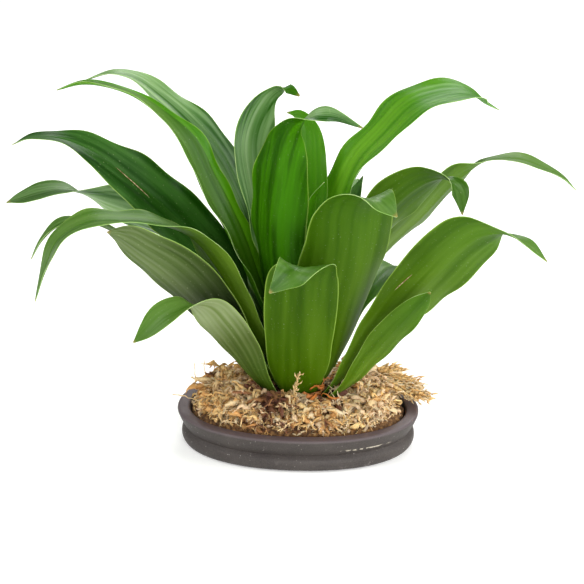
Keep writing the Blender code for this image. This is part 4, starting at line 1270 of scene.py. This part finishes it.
def make_moss():
    """Flakes and sprigs, each kind as a left and a right piece."""
    draw = random.Random(41)
    flakes, sprigs = (Heap(), Heap()), (Heap(), Heap())
    fill_knots(draw, flakes, sprigs)
    fill_between(draw, loose_flake, flakes, LOOSE_FLAKES)
    fill_between(draw, loose_sprig, sprigs, LOOSE_SPRIGS)
    kinds = (("flakes", flakes), ("sprigs", sprigs))
    return [heap.piece(f"moss_{kind}_{side}", MOSS) for kind, heaps in kinds
            for heap, side in zip(heaps, ("left", "right"))]


moss_pieces = make_moss()
print("moss faces:", [len(piece.data.polygons) for piece in moss_pieces])

# %% [markdown]
# ## The tuft and the odd strands
# A few pieces can be told apart on the real heap, so they are placed one by one: the tuft whose
# sprays hang over the rim on the right, a pale stalk that stands before the front leaf, thin straws,
# most of them at the left, and some fine white roots. Each is a path from a root to a tip with a sag
# between them.

# %% Place the tuft, stalk, straws and roots
TUFT_SPRAYS = (
    ((54, 19, 37), (95, 8, 27.0)), ((56, 15, 36), (86, 1, 27.0)), ((54, 24, 38), (79, 27, 32)),
    ((50, 26, 38), (70, 38, 36)), ((57, 20, 37), (87, 18, 30)), ((59, 13, 35), (91, 4, 27.0)),
    ((50, 22, 38), (76, 20, 35)), ((52, 14, 37), (78, 9, 30)), ((56, 12, 35), (82, -3, 27.0)),
)
TUFT_STRANDS = 4
# Past the rim's inner edge the tuft has to stay above this height.
RIM_INNER_EDGE = (71.5, 50.5)
TUFT_LOWEST = TRAY_HEIGHT + 1.2
STALK = ((-2.0, -27.5, 37.0), (2.8, -39.5, 63.5))
STRAWS = (
    ((-70.6, 20.0, 26.0), (-70.8, 20.5, 43.5)), ((-84.0, 4.5, 26.5), (-66.0, -6.5, 27.0)),
    ((-52.0, -20.0, 34.0), (-38.5, -36.0, 30.0)), ((-63.0, 20.0, 31.0), (-64.5, 21.0, 46.0)),
    ((34.0, 30.0, 38.0), (48.0, 30.0, 47.0)), ((20.0, -42.0, 29.0), (38.0, -43.0, 30.5)),
)
WHITE_ROOTS = (
    ((20.0, -16.0, 45.0), (31.0, -24.0, 36.0)), ((24.0, -16.0, 45.0), (29.0, -30.0, 37.0)),
    ((21.0, -18.0, 43.0), (26.0, -30.0, 38.0)),
)


def sagging(draw, root, tip, sag, crinkle, count):
    """A crinkled path from a root to a tip that sags below, or with a minus above, the straight line."""
    path = []
    for i in range(count):
        share = i / (count - 1)
        shake = Vector([draw.gauss(0, crinkle) for _ in range(3)]) * math.sin(math.pi * share)
        drop = Vector((0, 0, -sag * math.sin(math.pi * share)))
        path.append(Vector(root).lerp(Vector(tip), share) + drop + shake)
    return path


def make_tuft():
    draw = random.Random(77)
    heap = Heap()
    for root, tip in TUFT_SPRAYS:
        for _ in range(TUFT_STRANDS):
            start = Vector(root) + Vector([draw.gauss(0, 1.6) for _ in range(3)])
            end = Vector(root).lerp(Vector(tip), draw.uniform(0.55, 1.0))
            end += Vector((draw.gauss(0, 2.0), draw.gauss(0, 2.0), abs(draw.gauss(0, 1.2))))
            path = sagging(draw, start, end, sag=draw.uniform(-3.0, -0.5), crinkle=0.7, count=8)
            over_rim = [p for p in path if not within_oval(p, *RIM_INNER_EDGE)]
            if all(p.z > TUFT_LOWEST for p in over_rim) and clear_of_leaves(path):
                thickness, tint = draw.uniform(2.8, 4.2), draw.uniform(0.50, 0.84)
                add_sprig(heap, draw, path, thickness, tint, leaflets=22, free=True)
    return heap.piece("moss_tuft_over_rim", MOSS)


def make_odd_strands():
    draw = random.Random(5)
    heap = Heap()
    stalk = sagging(draw, *STALK, sag=-1.0, crinkle=0.4, count=12)
    add_sprig(heap, draw, stalk, thickness=3.0, tint=0.66, leaflets=26)
    for root, tip in STRAWS:
        path = sagging(draw, root, tip, sag=draw.uniform(-1.5, 0.0), crinkle=0.35, count=9)
        heap.strand(path, [0.40] * 8 + [0.2], STRAND_SIDES, tint=0.72, flat=0.8, first_share=0.5)
    for root, tip in WHITE_ROOTS:
        path = sagging(draw, root, tip, sag=-2.0, crinkle=0.3, count=10)
        heap.strand(path, [0.32] * 9 + [0.15], STRAND_SIDES, tint=0.86, flat=1.0, first_share=0.7)
    return heap.piece("moss_stalk_straws_and_roots", MOSS)


odd_pieces = [make_tuft(), make_odd_strands()]
print("tuft and strand faces:", [len(piece.data.polygons) for piece in odd_pieces])

# %% [markdown]
# ## Floor and light
# A product photograph of a plant is lit by large soft lights against white. A pale floor and a world
# that is white to the camera, but dimmer as a light, give the even base. Area lights at the upper
# left and the right give the sheen on both sides, one in front fills the moss and the front leaves,
# and one behind the plant shines through the blades.

# %% Floor and lights
# The stage is set in metres. Each softbox has a name, a place, a size and a power in watts.
FLOOR_SIZE = 8.0
LIGHT_AIM = (0.0, 0.0, 0.1)
SOFTBOXES = (
    ("left_softbox", (-1.0, -0.45, 1.05), 0.9, 11.5), ("right_softbox", (1.1, -0.25, 0.75), 0.9, 11.5),
    ("back_softbox", (0.15, 1.0, 1.2), 1.0, 16.0), ("front_softbox", (0.4, -1.4, 0.45), 0.8, 14.5),
)


def make_floor():
    finish, tree = new_finish("pale_floor_paint")
    paint = add(tree, "BsdfPrincipled", {"Base Color": linear("#f6f6f4"), "Roughness": 0.9,
                                         "Emission Color": linear("#ffffff"), "Emission Strength": 0.22})
    add(tree, "OutputMaterial", {"Surface": paint.outputs[0]})
    bpy.ops.mesh.primitive_plane_add(size=FLOOR_SIZE, location=(0, 0, 0))
    floor = bpy.context.object
    floor.name = "floor"
    floor.data.materials.append(finish)


def make_light(name, place, size, power):
    lamp = bpy.data.lights.new(name, "AREA")
    lamp.size = size
    lamp.energy = power
    thing = bpy.data.objects.new(name, lamp)
    thing.location = place
    thing.rotation_euler = (Vector(LIGHT_AIM) - Vector(place)).to_track_quat("-Z", "Y").to_euler()
    bpy.context.scene.collection.objects.link(thing)


def make_world():
    """White to the camera, but a dimmer grey as a light, so that the softboxes model the leaves."""
    world = bpy.data.worlds.new("studio")
    world.use_nodes = True
    tree = world.node_tree
    seen = add(tree, "LightPath").outputs["Is Camera Ray"]
    strength = add(tree, "MapRange", {"Value": seen, "To Min": 0.38, "To Max": 1.0}).outputs[0]
    tree.nodes["Background"].inputs["Color"].default_value = linear("#ffffff")
    tree.links.new(strength, tree.nodes["Background"].inputs["Strength"])
    bpy.context.scene.world = world


make_floor()
for softbox in SOFTBOXES:
    make_light(*softbox)
make_world()
bpy.context.scene.view_settings.view_transform = "Standard"
print("softboxes:", [name for name, *_ in SOFTBOXES])

# %% [markdown]
# ## Camera
# The camera stands 1.3 m away, 20 degrees above the level, with a long lens. A short lens close by
# would swell the front leaves and shrink the far ones, and so spoil their true proportions. The
# camera is turned by as much as the plant is turned in its tray, and rolled by about half a degree.

# %% Set the camera
CAMERA_DISTANCE = 1300.0
CAMERA_RISE = 20.0
CAMERA_ROLL = 0.6
AIM_SIDEWAYS = -4.8
AIM_HEIGHT = 103.2
LENS = 123.4


def make_camera():
    rise, turn = math.radians(CAMERA_RISE), math.radians(PLANT_TURN)
    back = Vector((math.sin(turn) * math.cos(rise), -math.cos(turn) * math.cos(rise), math.sin(rise)))
    right = Vector((math.cos(turn), math.sin(turn), 0.0))
    up = back.cross(right)
    roll = math.radians(CAMERA_ROLL)
    tilted_right = right * math.cos(roll) + up * math.sin(roll)
    tilted_up = up * math.cos(roll) - right * math.sin(roll)
    lens = bpy.data.cameras.new("camera")
    lens.lens = LENS
    camera = bpy.data.objects.new("camera", lens)
    aim = (right * AIM_SIDEWAYS + Vector((0, 0, AIM_HEIGHT))) * MM
    camera.matrix_world = Matrix.Translation(aim + back * CAMERA_DISTANCE * MM) @ Matrix(
        (tilted_right, tilted_up, back)).transposed().to_4x4()
    bpy.context.scene.collection.objects.link(camera)
    bpy.context.scene.camera = camera
    return camera


camera = make_camera()
print("camera at", [round(c, 3) for c in camera.matrix_world.translation])
